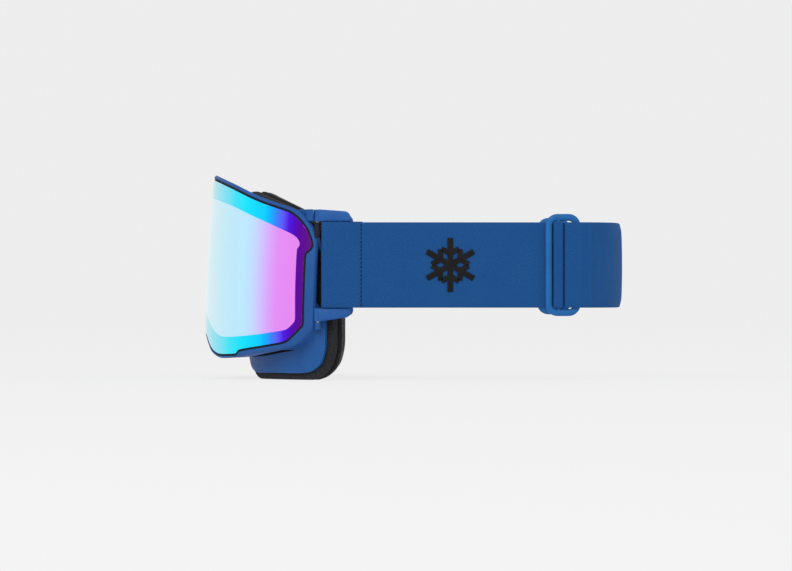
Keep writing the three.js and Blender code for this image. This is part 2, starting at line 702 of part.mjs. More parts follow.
function addStraps() {
  for (const [name, mirror] of [['left', (p) => p], ['right', mirrorPath]]) {
    add(`strap_loop_${name}`, ribbon(mirror(loopPath()), strapThickness, strapLow, strapHigh), blueWebbing);
    add(`front_strap_${name}`, ribbon(mirror(frontPath()), strapThickness, strapLow, strapHigh), blueWebbing);
  }
  add('rear_strap', ribbon(wholeBackPath, strapThickness, strapLow, strapHigh), blueWebbing);
}

// Silicone beads inside the back of the band.
function addGrips() {
  const beadThickness = 0.6;
  const beadHeight = 2;
  const inward = strapThickness / 2 + gap + beadThickness / 2;
  const turn = wholeBackPath.filter((p) => p.y > strapBackY - bendDepth * 0.6);
  const path = turn.map((here, i) => {
    const along = turn[Math.min(i + 1, turn.length - 1)].clone().sub(turn[Math.max(i - 1, 0)]).normalize();
    return new THREE.Vector2(here.x - along.y * inward, here.y + along.x * inward);
  });
  [-1, 0, 1].forEach((row, i) => {
    const middle = strapCentreZ + row * strapWidth * 0.27;
    const bead = ribbon(path, beadThickness, middle - beadHeight / 2, middle + beadHeight / 2);
    add(`grip_bead_${i + 1}`, bead, blackRubber);
  });
}

function addSliders() {
  const corner = 6;
  const half = { y: sliderLength / 2, z: sliderHeight / 2 };
  const shape = new THREE.Shape();
  shape.moveTo(-half.y + corner, -half.z);
  shape.lineTo(half.y - corner, -half.z);
  shape.quadraticCurveTo(half.y, -half.z, half.y, -half.z + corner);
  shape.lineTo(half.y, half.z - corner);
  shape.quadraticCurveTo(half.y, half.z, half.y - corner, half.z);
  shape.lineTo(-half.y + corner, half.z);
  shape.quadraticCurveTo(-half.y, half.z, -half.y, half.z - corner);
  shape.lineTo(-half.y, -half.z + corner);
  shape.quadraticCurveTo(-half.y, -half.z, -half.y + corner, -half.z);
  const slotHalf = strapWidth / 2 + strapEdgeGap;
  const plate = standAcross(shape, -sliderThickness / 2, sliderThickness, 5);
  const slots = [[-half.y + sliderBar, middleBarFront], [middleBarBack, backBarFront]]
    .map(([start, end]) => box([-sliderThickness, start, -slotHalf], [sliderThickness, end, slotHalf]));
  const buckle = cut(plate, ...slots);
  add('slider_left', buckle.clone().translate(sliderX, sliderY, strapCentreZ), blueFrame);
  add('slider_right', buckle.clone().translate(-sliderX, sliderY, strapCentreZ), blueFrame);
}

// A plain round badge lying on the outer face of each front strap.
function addEmblems() {
  const y = (stitchY + sliderFrontY) / 2 - 1.6;
  const path = frontPath();
  const front = y - emblemRadius; // the strap stands furthest out here
  const next = path.findIndex((p) => p.y > front);
  const share = (front - path[next - 1].y) / (path[next].y - path[next - 1].y);
  const strapX = path[next - 1].clone().lerp(path[next], share).x;
  const x = strapX + strapThickness / 2 + gap + emblemThickness / 2;
  for (const [side, name] of [[1, 'left'], [-1, 'right']]) {
    const badge = new THREE.CylinderGeometry(emblemRadius, emblemRadius, emblemThickness, 32)
      .rotateZ(Math.PI / 2).translate(side * x, y, strapCentreZ);
    add(`emblem_${name}`, badge, blackRubber);
  }
}

add('frame', frameGeometry(), blueFrame);
addLens();
addFoams();
addVentFoams();
addOutriggers();
addStraps();
addGrips();
addSliders();
addEmblems();

export default goggles;
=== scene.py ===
import math

import bmesh
import bpy
from mathutils import Matrix, Vector


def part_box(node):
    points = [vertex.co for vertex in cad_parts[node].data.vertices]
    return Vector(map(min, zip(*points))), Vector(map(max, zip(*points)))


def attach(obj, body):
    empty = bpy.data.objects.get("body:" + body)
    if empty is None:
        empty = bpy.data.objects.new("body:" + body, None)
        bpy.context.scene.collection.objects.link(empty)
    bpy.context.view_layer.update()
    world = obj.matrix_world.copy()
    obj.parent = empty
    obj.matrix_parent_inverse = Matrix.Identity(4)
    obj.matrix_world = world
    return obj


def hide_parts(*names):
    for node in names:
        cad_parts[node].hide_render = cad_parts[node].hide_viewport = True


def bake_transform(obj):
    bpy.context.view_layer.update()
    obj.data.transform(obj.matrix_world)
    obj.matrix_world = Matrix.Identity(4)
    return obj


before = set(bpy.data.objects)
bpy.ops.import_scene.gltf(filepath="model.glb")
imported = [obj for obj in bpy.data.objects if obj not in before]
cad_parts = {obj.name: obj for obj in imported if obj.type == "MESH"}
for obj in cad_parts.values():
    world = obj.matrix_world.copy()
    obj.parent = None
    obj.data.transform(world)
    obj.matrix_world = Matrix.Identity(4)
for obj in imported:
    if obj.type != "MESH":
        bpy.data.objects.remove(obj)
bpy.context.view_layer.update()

mm = 0.001
scene = bpy.context.scene


# shader helpers

class Wire:
    # a socket that can be written in sums
    def __init__(self, paint, socket):
        self.paint = paint
        self.socket = socket

    def maths(self, operation, first, second):
        return self.paint.node("Math", {"operation": operation}, {0: first, 1: second})

    def __add__(self, other):
        return self.maths("ADD", self, other)

    __radd__ = __add__

    def __sub__(self, other):
        return self.maths("SUBTRACT", self, other)

    def __rsub__(self, other):
        return self.maths("SUBTRACT", other, self)

    def __mul__(self, other):
        return self.maths("MULTIPLY", self, other)

    __rmul__ = __mul__

    def __abs__(self):
        return self.maths("ABSOLUTE", self, 0)

    def waves(self, length, shift=0):
        # a sine wave of this length, moved along by the shift
        return self.maths("SINE", self * (2 * math.pi / length) + shift, 0)

    def above(self, edge, soft):
        # 0 below the edge, 1 above it
        return self.paint.node("MapRange", {"clamp": True}, {0: self, 1: edge - soft, 2: edge + soft})


def linear(red, green, blue):
    # a screen colour, 0 to 255, as the shader wants it
    def channel(c):
        c /= 255
        return c / 12.92 if c <= 0.04045 else ((c + 0.055) / 1.055) ** 2.4
    return (channel(red), channel(green), channel(blue), 1)


class Paint:
    # one Principled material and the nodes that feed it
    def __init__(self, name, **constants):
        self.material = bpy.data.materials.new(name)
        self.material.use_nodes = True
        self.tree = self.material.node_tree
        self.tree.nodes.clear()
        self.shader = self.tree.nodes.new("ShaderNodeBsdfPrincipled")
        output = self.tree.nodes.new("ShaderNodeOutputMaterial")
        self.tree.links.new(self.shader.outputs[0], output.inputs[0])
        for socket, value in constants.items():
            self.feed(socket.replace("_", " "), value)

    def node(self, kind, settings=None, sockets=None, out=0):
        made = self.tree.nodes.new("ShaderNode" + kind)
        for key, value in (settings or {}).items():
            if key == "stops":
                self.setStops(made.color_ramp, value)
            else:
                setattr(made, key, value)
        for key, value in (sockets or {}).items():
            self.plug(made.inputs[key], value)
        return Wire(self, made.outputs[out])

    def setStops(self, ramp, stops):
        while len(ramp.elements) < len(stops):
            ramp.elements.new(1)
        for element, (place, colour) in zip(ramp.elements, stops):
            element.position = place
            element.color = colour

    def plug(self, socket, value):
        if isinstance(value, Wire):
            self.tree.links.new(value.socket, socket)
        else:
            socket.default_value = value

    def feed(self, name, value):
        self.plug(self.shader.inputs[name], value)

    def place(self, scale=(1, 1, 1)):
        objectSpace = self.node("TexCoord", out="Object")
        return self.node("Mapping", {}, {"Vector": objectSpace, "Scale": scale})

    def noise(self, scale, detail=3, where=None, roughness=0.5):
        sockets = {"Vector": where or self.place(), "Scale": scale, "Detail": detail, "Roughness": roughness}
        return self.node("TexNoise", {}, sockets)

    def mix(self, factor, first, second):
        sockets = {"Factor": factor, 6: first, 7: second}
        return self.node("Mix", {"data_type": "RGBA"}, sockets, out=2)

    def bump(self, height, strength, distance):
        sockets = {"Height": height, "Strength": strength, "Distance": distance}
        self.feed("Normal", self.node("Bump", {}, sockets))


# materials

plasticLooks = {
    "frameBlue": {"deep": (14, 68, 130), "light": (24, 84, 150), "rough": 0.5},
    "outriggerBlue": {"deep": (18, 74, 142), "light": (28, 88, 158), "rough": 0.46},
    "sliderBlue": {"deep": (8, 82, 146), "light": (18, 98, 162), "rough": 0.42},
}
plasticGrain = {"cloud": 38, "grain": 5200, "scuff": 420, "bump": 0.16, "depth": 0.00012}


def mouldedPlastic(name):
    look = plasticLooks[name]
    paint = Paint(name, Specular_IOR_Level=0.24, Coat_Weight=0.03, Coat_Roughness=0.3)
    cloud = paint.noise(plasticGrain["cloud"], 4)
    grain = paint.noise(plasticGrain["grain"], 2)
    scuff = paint.noise(plasticGrain["scuff"], 5, roughness=0.62).above(0.63, 0.06)
    paint.feed("Base Color", paint.mix(cloud.above(0.5, 0.25), linear(*look["deep"]), linear(*look["light"])))
    paint.feed("Roughness", look["rough"] + grain * 0.12 + scuff * 0.08)
    paint.bump(grain + cloud * 2, plasticGrain["bump"], plasticGrain["depth"])
    return paint.material


webbingLook = {
    "deep": (10, 48, 98), "mid": (18, 68, 128), "light": (36, 98, 162),
    "courseLength": 0.00095, "waleWidth": 0.00085, "twillLength": 0.0015, "ribWidth": 0.0056,
    "yarn": 2600, "wear": 60, "wobble": 700, "bump": 0.7, "depth": 0.0003,
}


def webbing(name, tone=1.0):
    # knitted elastic: wales across the band, courses along it, and a faint twill between
    look = webbingLook
    paint = Paint(name, Roughness=0.9, Specular_IOR_Level=0.15, Sheen_Weight=0.1, Sheen_Roughness=0.4)
    paint.feed("Sheen Tint", linear(90, 150, 215))
    uv = paint.node("UVMap", {"uv_map": "strap"})
    split = paint.node("SeparateXYZ", {}, {0: uv})
    along = split
    across = Wire(paint, split.socket.node.outputs[1])
    wobble = paint.noise(look["wobble"], 2, where=uv) - 0.5
    course = along.waves(look["courseLength"], wobble * 1.6)
    wale = across.waves(look["waleWidth"], wobble * 1.4)
    twill = (along + across).waves(look["twillLength"], wobble * 3)
    yarn = paint.noise(look["yarn"], 3, where=uv)
    worn = paint.noise(look["wear"], 4, where=uv)
    knit = course * wale * 0.4 + twill * 0.22 + yarn * 0.9
    deep, mid, light = (linear(*[c * tone for c in look[key]]) for key in ("deep", "mid", "light"))
    base = paint.mix(knit.above(0.45, 0.6), deep, light)
    base = paint.mix(worn.above(0.5, 0.3) * 0.45, base, mid)
    ribs = across.waves(look["ribWidth"])
    paint.feed("Base Color", base)
    paint.bump(knit + ribs * 0.12 + worn * 0.8, look["bump"], look["depth"])
    return paint.material


def foam(name, dark, light, cell, fuzz=0.0):
    paint = Paint(name, Roughness=0.95, Specular_IOR_Level=0.12, Sheen_Weight=fuzz, Sheen_Roughness=0.6)
    cells = paint.node("TexVoronoi", {}, {"Vector": paint.place(), "Scale": 1 / cell})
    speckle = paint.noise(0.7 / cell, 4)
    broad = paint.noise(45, 3)
    mixed = paint.mix((speckle * 0.7 + cells * 0.5).above(0.6, 0.3), linear(*dark), linear(*light))
    paint.feed("Base Color", paint.mix(broad.above(0.55, 0.2) * 0.35, mixed, linear(*dark)))
    paint.bump(cells * 0.8 + speckle, 0.6, cell * 0.7)
    return paint.material


def rubber(name, tone, rough=0.6):
    paint = Paint(name, Specular_IOR_Level=0.2)
    grain = paint.noise(3000, 3)
    dust = paint.noise(160, 4)
    paint.feed("Base Color", paint.mix(dust.above(0.58, 0.2), linear(*tone), linear(*[c + 9 for c in tone])))
    paint.feed("Roughness", rough + grain * 0.16)
    paint.bump(grain, 0.25, 0.0001)
    return paint.material


def metal(name):
    paint = Paint(name, Metallic=1.0)
    brushed = paint.noise(900, 3, where=paint.place((1, 1, 9)))
    paint.feed("Base Color", paint.mix(brushed, (0.46, 0.46, 0.48, 1), (0.62, 0.62, 0.63, 1)))
    paint.feed("Roughness", 0.24 + brushed * 0.2)
    return paint.material


# colours round the lens by angle from its middle, in degrees, over a span of 72. Painted reflection: the
# coat's colour shift with viewing angle is laid on by place round the lens
windowTints = [
    (0, (208, 238, 246)), (16, (206, 237, 245)), (28, (196, 237, 252)), (41, (189, 232, 255)),
    (45, (196, 219, 255)), (49, (208, 194, 255)), (52.6, (220, 165, 252)), (56, (228, 144, 246)),
    (62, (231, 137, 243)),
]
borderTints = [
    (0, (150, 214, 232)), (16, (150, 222, 238)), (28, (104, 226, 244)), (33, (52, 228, 250)),
    (40, (2, 228, 254)), (49, (3, 206, 254)), (51.7, (10, 174, 252)), (54.3, (56, 130, 252)),
    (56.9, (92, 88, 249)), (59.3, (78, 22, 228)), (61.7, (80, 2, 191)), (64, (88, 1, 154)),
    (67, (92, 12, 136)), (69, (104, 32, 124)),
]
tintSpan, tintRise = 72, 110
coatPaintedGlow = 0.1  # painted glow: the coat gives off a little light of its own, to look brighter


def mirrorCoat(name, tints, shine):
    paint = Paint(name, Metallic=shine, Specular_IOR_Level=0.25, Coat_Weight=0.06, Coat_Roughness=0.05)
    uv = paint.node("UVMap", {"uv_map": "lens"})
    split = paint.node("SeparateXYZ", {}, {0: uv})
    across = abs(split)
    haze = paint.noise(14, 2)
    place = across + (haze - 0.5) * 0.012
    # painted reflection: the colour that the coat shows at each viewing angle, set by place round the lens
    stops = [(angle / tintSpan, linear(*colour)) for angle, colour in tints]
    coat = paint.node("ValToRGB", {"stops": stops}, {0: place})
    paint.feed("Base Color", coat)
    # painted glow: the lens coat emits its own colour faintly, though it is no lamp
    paint.feed("Emission Color", coat)
    paint.feed("Emission Strength", coatPaintedGlow)
    smear = paint.noise(30, 5)
    paint.feed("Roughness", 0.07 + smear * 0.07)
    return paint.material


def lensBack():
    paint = Paint("lensBack", Specular_IOR_Level=0.6, Coat_Weight=0.5, Coat_Roughness=0.04)
    haze = paint.noise(22, 3)
    paint.feed("Base Color", paint.mix(haze, linear(92, 60, 78), linear(112, 78, 92)))
    paint.feed("Roughness", 0.12 + haze * 0.08)
    return paint.material


def clearPane():
    paint = Paint("clearPane", Specular_IOR_Level=0.5)
    haze = paint.noise(25, 3)
    paint.feed("Base Color", paint.mix(haze, linear(205, 214, 220), linear(222, 228, 232)))
    paint.feed("Roughness", 0.05 + haze * 0.05)
    paint.feed("Alpha", 0.16 + haze * 0.05)
    return paint.material


finishes = {
    "frame": mouldedPlastic("frameBlue"),
    "outrigger": mouldedPlastic("outriggerBlue"),
    "slider": mouldedPlastic("sliderBlue"),
    "webbing": webbing("webbingBlue"),
    # the loop's inner layer: the same webbing at 0.16 of its tone
    "webbingBack": webbing("webbingDarkened", 0.16),
    "thread": rubber("threadNavy", (10, 28, 60), 0.8),
    "charcoalFoam": foam("charcoalFoam", (28, 28, 30), (56, 56, 58), 0.0007),
    "comfortFoam": foam("comfortFoam", (18, 18, 20), (40, 40, 42), 0.0005),
    "fleece": foam("blackFleece", (8, 8, 10), (30, 30, 32), 0.0009, 0.25),
    "ventFoam": foam("ventFoam", (12, 12, 14), (34, 34, 36), 0.0011),
    # the seal rubber, also used as painted shade on the upper hinge lugs
    "seal": rubber("sealRubberAndPaintedShade", (22, 23, 34)),
    "badge": rubber("badgeRubber", (12, 12, 14), 0.7),
    "silicone": rubber("gripSilicone", (34, 36, 44), 0.35),
    "steel": metal("magnetSteel"),
    "window": mirrorCoat("lensWindow", windowTints, 0.9),
    "border": mirrorCoat("lensBorder", borderTints, 0.88),
    "lensBack": lensBack(),
    "clear": clearPane(),
}
print("materials made")


# outlines and surfaces, in millimetres, as in the CAD model

shell = {
    "lensRadius": 90, "lensAxisY": -22.5, "lensSag": 900, "lensFrontZ": 16.4,
    "faceRadius": 90, "faceAxisY": 1.8, "wall": 2.2, "flangeWidth": 9, "flange": 2, "shoulderForward": 3.2,
    "edgeGap": 1.1, "seatDepth": 2.9, "seatBack": 5.1, "perKey": 8,
}
lensEdge = [
    (0, 107.3), (25, 105.6), (48.2, 101.3), (74.5, 93.6), (92.5, 88.8), (99.7, 84.4),
    (104.5, 79), (107, 73.8), (107.6, 70.4), (105.2, 67.9), (103.8, 66), (103.8, 48),
    (103.8, 30.4), (102.4, 28), (96.6, 22.7), (92.2, 20.2), (76, 17.9), (60.6, 16),
    (58.6, 14.4), (56, 13.7), (39.7, 13.5), (28.3, 16.4), (16.7, 22.6), (0, 27.2),
]
bezelEdge = [
    (0, 109.8), (25, 108.1), (48.8, 103.8), (75.2, 96.1), (94.6, 91), (103, 86.3),
    (107.8, 80.8), (110.2, 75), (110.7, 70.5), (110.7, 67), (110.7, 63), (110.7, 48),
    (110.7, 30), (109.4, 26.6), (105, 21.9), (97.2, 17.4), (78, 14.6), (63, 12.4),
    (59, 11.9), (55, 11.6), (39.4, 11.2), (26.8, 13.7), (15.3, 19.8), (0, 24.4),
]
windowEdge = [
    (0, 97.8), (25, 96.2), (49.5, 92.4), (75.4, 84.6), (88, 80.2), (95.3, 77.4),
    (98.8, 75.3), (100.6, 73), (100.8, 71.4), (99.9, 69.8), (99.3, 68), (99.4, 48),
    (99.8, 33), (99, 30.5), (95.5, 27.3), (91.5, 26.1), (76, 24.2), (62, 23.1),
    (58, 22.9), (53, 22.7), (42, 22.9), (32, 25.9), (20, 32), (0, 37),
]
flangeEdge = [
    (0, 97), (22, 96.1), (42, 92.8), (62, 88), (77, 82), (84, 77.5),
    (88, 72.5), (90, 67.5), (91, 63.5), (91.3, 61), (91.5, 58), (91.5, 42),
    (91.5, 21), (91, 15.5), (88.5, 8.5), (82, 4.4), (74, 3.5), (62, 3.5),
    (56, 3.5), (48, 3.5), (33, 3.5), (22.5, 7.5), (13, 20), (0, 33),
]
shoulderEdge = [
    (0, 101.5), (22, 100.4), (43, 96.9), (64, 91.3), (80, 84.6), (87, 79),
    (89.5, 73.5), (90, 68), (90, 64), (90, 61), (90, 58), (90, 42),
    (90, 31), (89.6, 26.8), (88.6, 22.4), (83, 18), (74, 15.2), (62, 13.8),
    (56, 13.2), (48, 12.5), (33, 11.8), (23.5, 13.6), (14, 21.5), (0, 31.5),
]


def outline(half, tension=0.36, rounds=5):
    # the whole outline as dense, evenly numbered stations through its keys
    keys = [Vector(p) for p in half] + [Vector((-u, z)) for u, z in half[-2:0:-1]]
    count, steps = len(keys), shell["perKey"]
    stations = []
    for k in range(count):
        before, here, after, later = (keys[(k + i) % count] for i in (-1, 0, 1, 2))
        leave, arrive = (after - before) * tension, (later - here) * tension
        for step in range(steps):
            t = step / steps
            stations.append(
                here * (2 * t**3 - 3 * t**2 + 1) + leave * (t**3 - 2 * t**2 + t)
                + after * (3 * t**2 - 2 * t**3) + arrive * (t**3 - t**2))
    for _ in range(rounds):
        later = stations[1:] + stations[:1]
        stations = [(stations[i - 1] + s * 2 + later[i]) / 4 for i, s in enumerate(stations)]
    return stations


def grow(stations, distance):
    count = len(stations)
    out = []
    for i, here in enumerate(stations):
        along = (stations[(i + 1) % count] - stations[i - 1]).normalized()
        out.append(Vector((here.x - along.y * distance, here.y + along.x * distance)))
    return out


def onLens(p, depth):
    angle = p.x / shell["lensRadius"]
    reach = shell["lensRadius"] - depth
    lean = (p.y - shell["lensFrontZ"]) ** 2 / (2 * shell["lensSag"])
    return Vector((reach * math.sin(angle), shell["lensAxisY"] - reach * math.cos(angle) + lean, p.y)) * mm


def onFace(p, forward):
    angle = p.x / shell["faceRadius"]
    reach = shell["faceRadius"] + forward
    return Vector((reach * math.sin(angle), shell["faceAxisY"] - reach * math.cos(angle), p.y)) * mm


def lensRow(stations, depth):
    return [onLens(p, depth) for p in stations]


def faceRow(stations, forward):
    return [onFace(p, forward) for p in stations]


# mesh helpers

def loft(loops, closed):
    # extrudes a loop of vertices through the others; closed joins the last to the first
    bm = bmesh.new()
    number = bm.verts.layers.int.new("number")
    order = bm.verts.layers.int.new("order")
    first = [bm.verts.new(p) for p in loops[0]]
    for i, v in enumerate(first):
        v[number] = i
    ring = [bm.edges.new((v, first[(i + 1) % len(first)])) for i, v in enumerate(first)]
    if not closed:
        bm.faces.new(first)
    for k, places in enumerate(loops[1:] + (loops[:1] if closed else []), 1):
        made = bmesh.ops.extrude_edge_only(bm, edges=ring)["geom"]
        for v in made:
            if isinstance(v, bmesh.types.BMVert):
                v.co = places[v[number]]
                v[order] = k
        edges = [e for e in made if isinstance(e, bmesh.types.BMEdge)]
        ring = [e for e in edges if all(v[order] == k for v in e.verts)]
    if closed:
        bmesh.ops.remove_doubles(bm, verts=bm.verts, dist=1e-7)
    else:
        bmesh.ops.edgeloop_fill(bm, edges=ring)
    bmesh.ops.recalc_face_normals(bm, faces=bm.faces)
    return bm


def toSide(bm, side):
    # a mesh is made on the left and flipped when it belongs on the right
    if side < 0:
        bmesh.ops.scale(bm, vec=(-1, 1, 1), verts=bm.verts)
        bmesh.ops.reverse_faces(bm, faces=bm.faces)


def pull(bm, faces, vector):
    # extrudes faces and moves what comes out; gives back its vertices
    made = bmesh.ops.extrude_face_region(bm, geom=faces)["geom"]
    top = [g for g in made if isinstance(g, bmesh.types.BMVert)]
    bmesh.ops.translate(bm, vec=vector, verts=top)
    return top


def roundOff(bm, verts, width, segments):
    edges = list({e for v in verts for e in v.link_edges})
    bmesh.ops.bevel(bm, geom=edges, offset=width, segments=segments, profile=0.5, affect="EDGES", material=-1)


def softEdges(bm, width, angle=0.6, segments=3):
    sharp = [e for e in bm.edges if len(e.link_faces) == 2 and e.calc_face_angle() > angle]
    bmesh.ops.bevel(bm, geom=sharp, offset=width, offset_type="OFFSET", segments=segments, profile=0.5,
                    affect="EDGES", material=-1, clamp_overlap=True)


def meshOf(name, bm):
    mesh = bpy.data.meshes.new(name)
    bm.to_mesh(mesh)
    bm.free()
    mesh.polygons.foreach_set("use_smooth", [True] * len(mesh.polygons))
    return mesh


def placed(name, data):
    made = bpy.data.objects.new(name, data)
    scene.collection.objects.link(made)
    return made


def piece(name, bm, finish, stands, body=None, creaseAngle=0.6, bevel=None):
    mesh = meshOf(name, bm)
    for key in [finish] if isinstance(finish, str) else finish:
        mesh.materials.append(finishes[key])
    mesh.set_sharp_from_angle(angle=creaseAngle)
    made = placed(name, mesh)
    if bevel:
        edge = made.modifiers.new("softEdge", "BEVEL")
        edge.width, edge.segments, edge.limit_method, edge.angle_limit = bevel[0], bevel[1], "ANGLE", 0.5
        edge.use_clamp_overlap = True
    if stands:
        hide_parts(*stands)
    if body:
        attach(made, body)
    return made


def block(bm, low, high):
    made = bmesh.ops.create_cube(bm, size=1)["verts"]
    size = [h - l for l, h in zip(low, high)]
    bmesh.ops.scale(bm, vec=size, verts=made)
    bmesh.ops.translate(bm, vec=[(l + h) / 2 for l, h in zip(low, high)], verts=made)
    return made


def rod(bm, start, end, radius, segments=24):
    axis = Vector(end) - Vector(start)
    turn = axis.to_track_quat("Z", "Y").to_matrix().to_4x4()
    middle = Matrix.Translation((Vector(start) + Vector(end)) / 2)
    return bmesh.ops.create_cone(bm, cap_ends=True, segments=segments, radius1=radius, radius2=radius,
                                 depth=axis.length, matrix=middle @ turn)["verts"]


lens = outline(lensEdge)
bezel = outline(bezelEdge)
window = outline(windowEdge)
flange = outline(flangeEdge)
shoulder = outline(shoulderEdge)
stationCount = len(lens)


# frame

frameLook = {
    "rim": 0.9, "softEdge": 0.0005, "pocketDepth": 1.6, "pocketInset": 0.3, "pocketDraft": 0.02,
    "valley": 2.0, "faceDepth": 0.25, "sideDepth": 1.3, "seatShare": 0.16,
}
# where the vents lie on the wall, as shares from bezel to shoulder, by station
ventShares = [
    (0, 0.45, 0.85), (50, 0.5, 0.85), (66, 0.12, 0.97), (96, 0.12, 0.97), (120, 0.5, 0.96), (184, 0.5, 0.96),
]
topVents = [(k * 4 + 1, k * 4 + 3) for k in range(6)]
sideVent = [(58, 91)]
lowVents = [(127, 163)]
valleyRun = [(96, 0), (104, 1), (120, 1), (128, 0.35), (150, 0)]  # how far the wall dips, by station


def sampled(table, i):
    # straight-line reading of a table of stations, the same on both sides
    place = min(i, stationCount - i)
    for here, after in zip(table, table[1:]):
        if here[0] <= place <= after[0]:
            share = (place - here[0]) / (after[0] - here[0])
            return [a + (b - a) * share for a, b in zip(here[1:], after[1:])]
    return [0] * (len(table[0]) - 1)


def depthOf(p):
    x, y, z = p / mm
    rise = z - shell["lensFrontZ"]
    return shell["lensRadius"] - math.hypot(x, y - shell["lensAxisY"] - rise * rise / (2 * shell["lensSag"]))


def wallRows():
    # the wall's outer face at the bezel and at the shoulder, and its inner face at both
    side, low = lensRow(bezel, frameLook["sideDepth"]), faceRow(shoulder, shell["shoulderForward"])
    lowIn = faceRow(grow(shoulder, -shell["wall"]), shell["shoulderForward"] + 1)
    sideIn = []
    for out, foot, inner in zip(side, low, lowIn):
        near, far = 0.08, 0.92
        for _ in range(20):
            middle = (near + far) / 2
            if depthOf(inner + (out - foot) * middle) > shell["seatBack"]:
                near = middle
            else:
                far = middle
        sideIn.append(inner + (out - foot) * near)
    return side, low, lowIn, sideIn


def frameRows():
    inner, hole = grow(lens, shell["edgeGap"]), grow(flange, -shell["flangeWidth"])
    seat = [w.lerp(e, frameLook["seatShare"]) for w, e in zip(window, lens)]
    side, low, lowIn, sideIn = wallRows()
    between = []
    for edge in (0, 1):
        row = []
        for i, (out, foot, inward) in enumerate(zip(side, low, lowIn)):
            share = sampled(ventShares, i)[edge]
            dip = sampled(valleyRun, i)[0] * frameLook["valley"] * mm * (0.8 if edge else 1)
            row.append(out.lerp(foot, share) + (inward - foot).normalized() * dip)
        between.append(row)
    return [
        lensRow(inner, frameLook["faceDepth"]),
        lensRow(grow(bezel, -frameLook["rim"]), frameLook["faceDepth"]),
        side, *between, low,
        faceRow(flange, shell["flange"]),
        faceRow(flange, 0),
        faceRow(hole, 0),
        faceRow(hole, shell["flange"]),
        faceRow(grow(flange, -shell["wall"]), shell["flange"]),
        lowIn, sideIn,
        lensRow(seat, shell["seatBack"]),
        lensRow(seat, shell["seatDepth"]),
        lensRow(inner, shell["seatDepth"]),
    ]


def makeFrame():
    bm = loft(frameRows(), closed=True)
    number, order = bm.verts.layers.int["number"], bm.verts.layers.int["order"]
    runs = topVents + sideVent + lowVents
    runs += [(stationCount - b, stationCount - a) for a, b in runs]
    for first, last in runs:
        faces = [f for f in bm.faces if {v[order] for v in f.verts} == {3, 4}
                 and all(first <= v[number] <= last for v in f.verts)]
        bmesh.ops.inset_region(bm, faces=faces, thickness=frameLook["pocketInset"] * mm, use_even_offset=True)
        sunk = bmesh.ops.inset_region(bm, faces=faces, thickness=frameLook["pocketDraft"] * mm,
                                      depth=-frameLook["pocketDepth"] * mm)
        for f in faces + sunk["faces"]:
            f.material_index = 1
    bmesh.ops.recalc_face_normals(bm, faces=bm.faces)
    piece("frameShell", bm, ["frame", "ventFoam"], ["frame"], "root",
          bevel=(frameLook["softEdge"], 3))


makeFrame()
print("frame made")


# lens

lensLook = {"thickness": 1.3, "columnStep": 2.5, "rowStep": 9, "firstRow": 12, "edge": 0.00022}
innerLook = {"front": 4.9, "thickness": 0.8, "inset": -0.6, "edge": 0.00015}
spacerLook = {"outer": -0.6, "inner": -4.2, "front": 1.6, "back": 4.6, "soft": 0.0003}
sealLook = {
    "inner": 0.3, "lip": 0.8, "pad": -2, "front": 0.45, "padFront": 1.6, "back": 2.45, "soft": 0.00015,
}


def sheetOf(edge, inner=None):
    # a flat pane in its own unrolled plane, cut into fine cells; material 1 lies outside the inner loop
    bm = bmesh.new()
    core = inner or edge
    verts = [bm.verts.new((p.x, 0, p.y)) for p in core]
    face = bm.faces.new(verts)
    if inner:
        ring = list(face.edges)
        index = {v: i for i, v in enumerate(verts)}
        made = bmesh.ops.extrude_edge_only(bm, edges=ring)["geom"]
        for v in made:
            if isinstance(v, bmesh.types.BMVert):
                mate = next(e.other_vert(v) for e in v.link_edges if e.other_vert(v) in index)
                target = edge[index[mate]]
                v.co = (target.x, 0, target.y)
        for f in bm.faces:
            f.material_index = 0 if f is face else 1
    reach = max(p.x for p in edge)
    top = max(p.y for p in edge)
    cuts = [((u, 0, 0), (1, 0, 0)) for u in stepsTo(-reach, reach, lensLook["columnStep"])]
    cuts += [((0, 0, z), (0, 0, 1)) for z in stepsTo(lensLook["firstRow"], top, lensLook["rowStep"])]
    for place, normal in cuts:
        everything = [*bm.verts, *bm.edges, *bm.faces]
        bmesh.ops.bisect_plane(bm, geom=everything, dist=1e-4, plane_co=place, plane_no=normal)
    return bm


def stepsTo(low, high, step):
    count = int((high - low) / step)
    return [low + step * (i + 0.5) for i in range(count)]


def wrapSheet(bm, depth):
    # gives the flat pane its uv map and bends it round the lens
    uv = bm.loops.layers.uv.new("lens")
    for f in bm.faces:
        for loop in f.loops:
            u, z = loop.vert.co.x, loop.vert.co.z
            loop[uv].uv = (math.degrees(u / shell["lensRadius"]) / tintSpan, z / tintRise)
    for v in bm.verts:
        v.co = onLens(Vector((v.co.x, v.co.z)), depth)
    bmesh.ops.recalc_face_normals(bm, faces=bm.faces)
    middle = min(bm.faces, key=lambda f: f.calc_center_median().y)
    if middle.normal.y > 0:
        bmesh.ops.reverse_faces(bm, faces=bm.faces)
    return bm


def thicken(made, thickness, offset, bevelWidth):
    wall = made.modifiers.new("wall", "SOLIDIFY")
    wall.thickness = thickness
    wall.offset = -1
    wall.use_even_offset = True
    wall.material_offset = offset
    wall.material_offset_rim = offset
    edge = made.modifiers.new("rim", "BEVEL")
    edge.width, edge.segments, edge.limit_method, edge.angle_limit = bevelWidth, 2, "ANGLE", 1.0


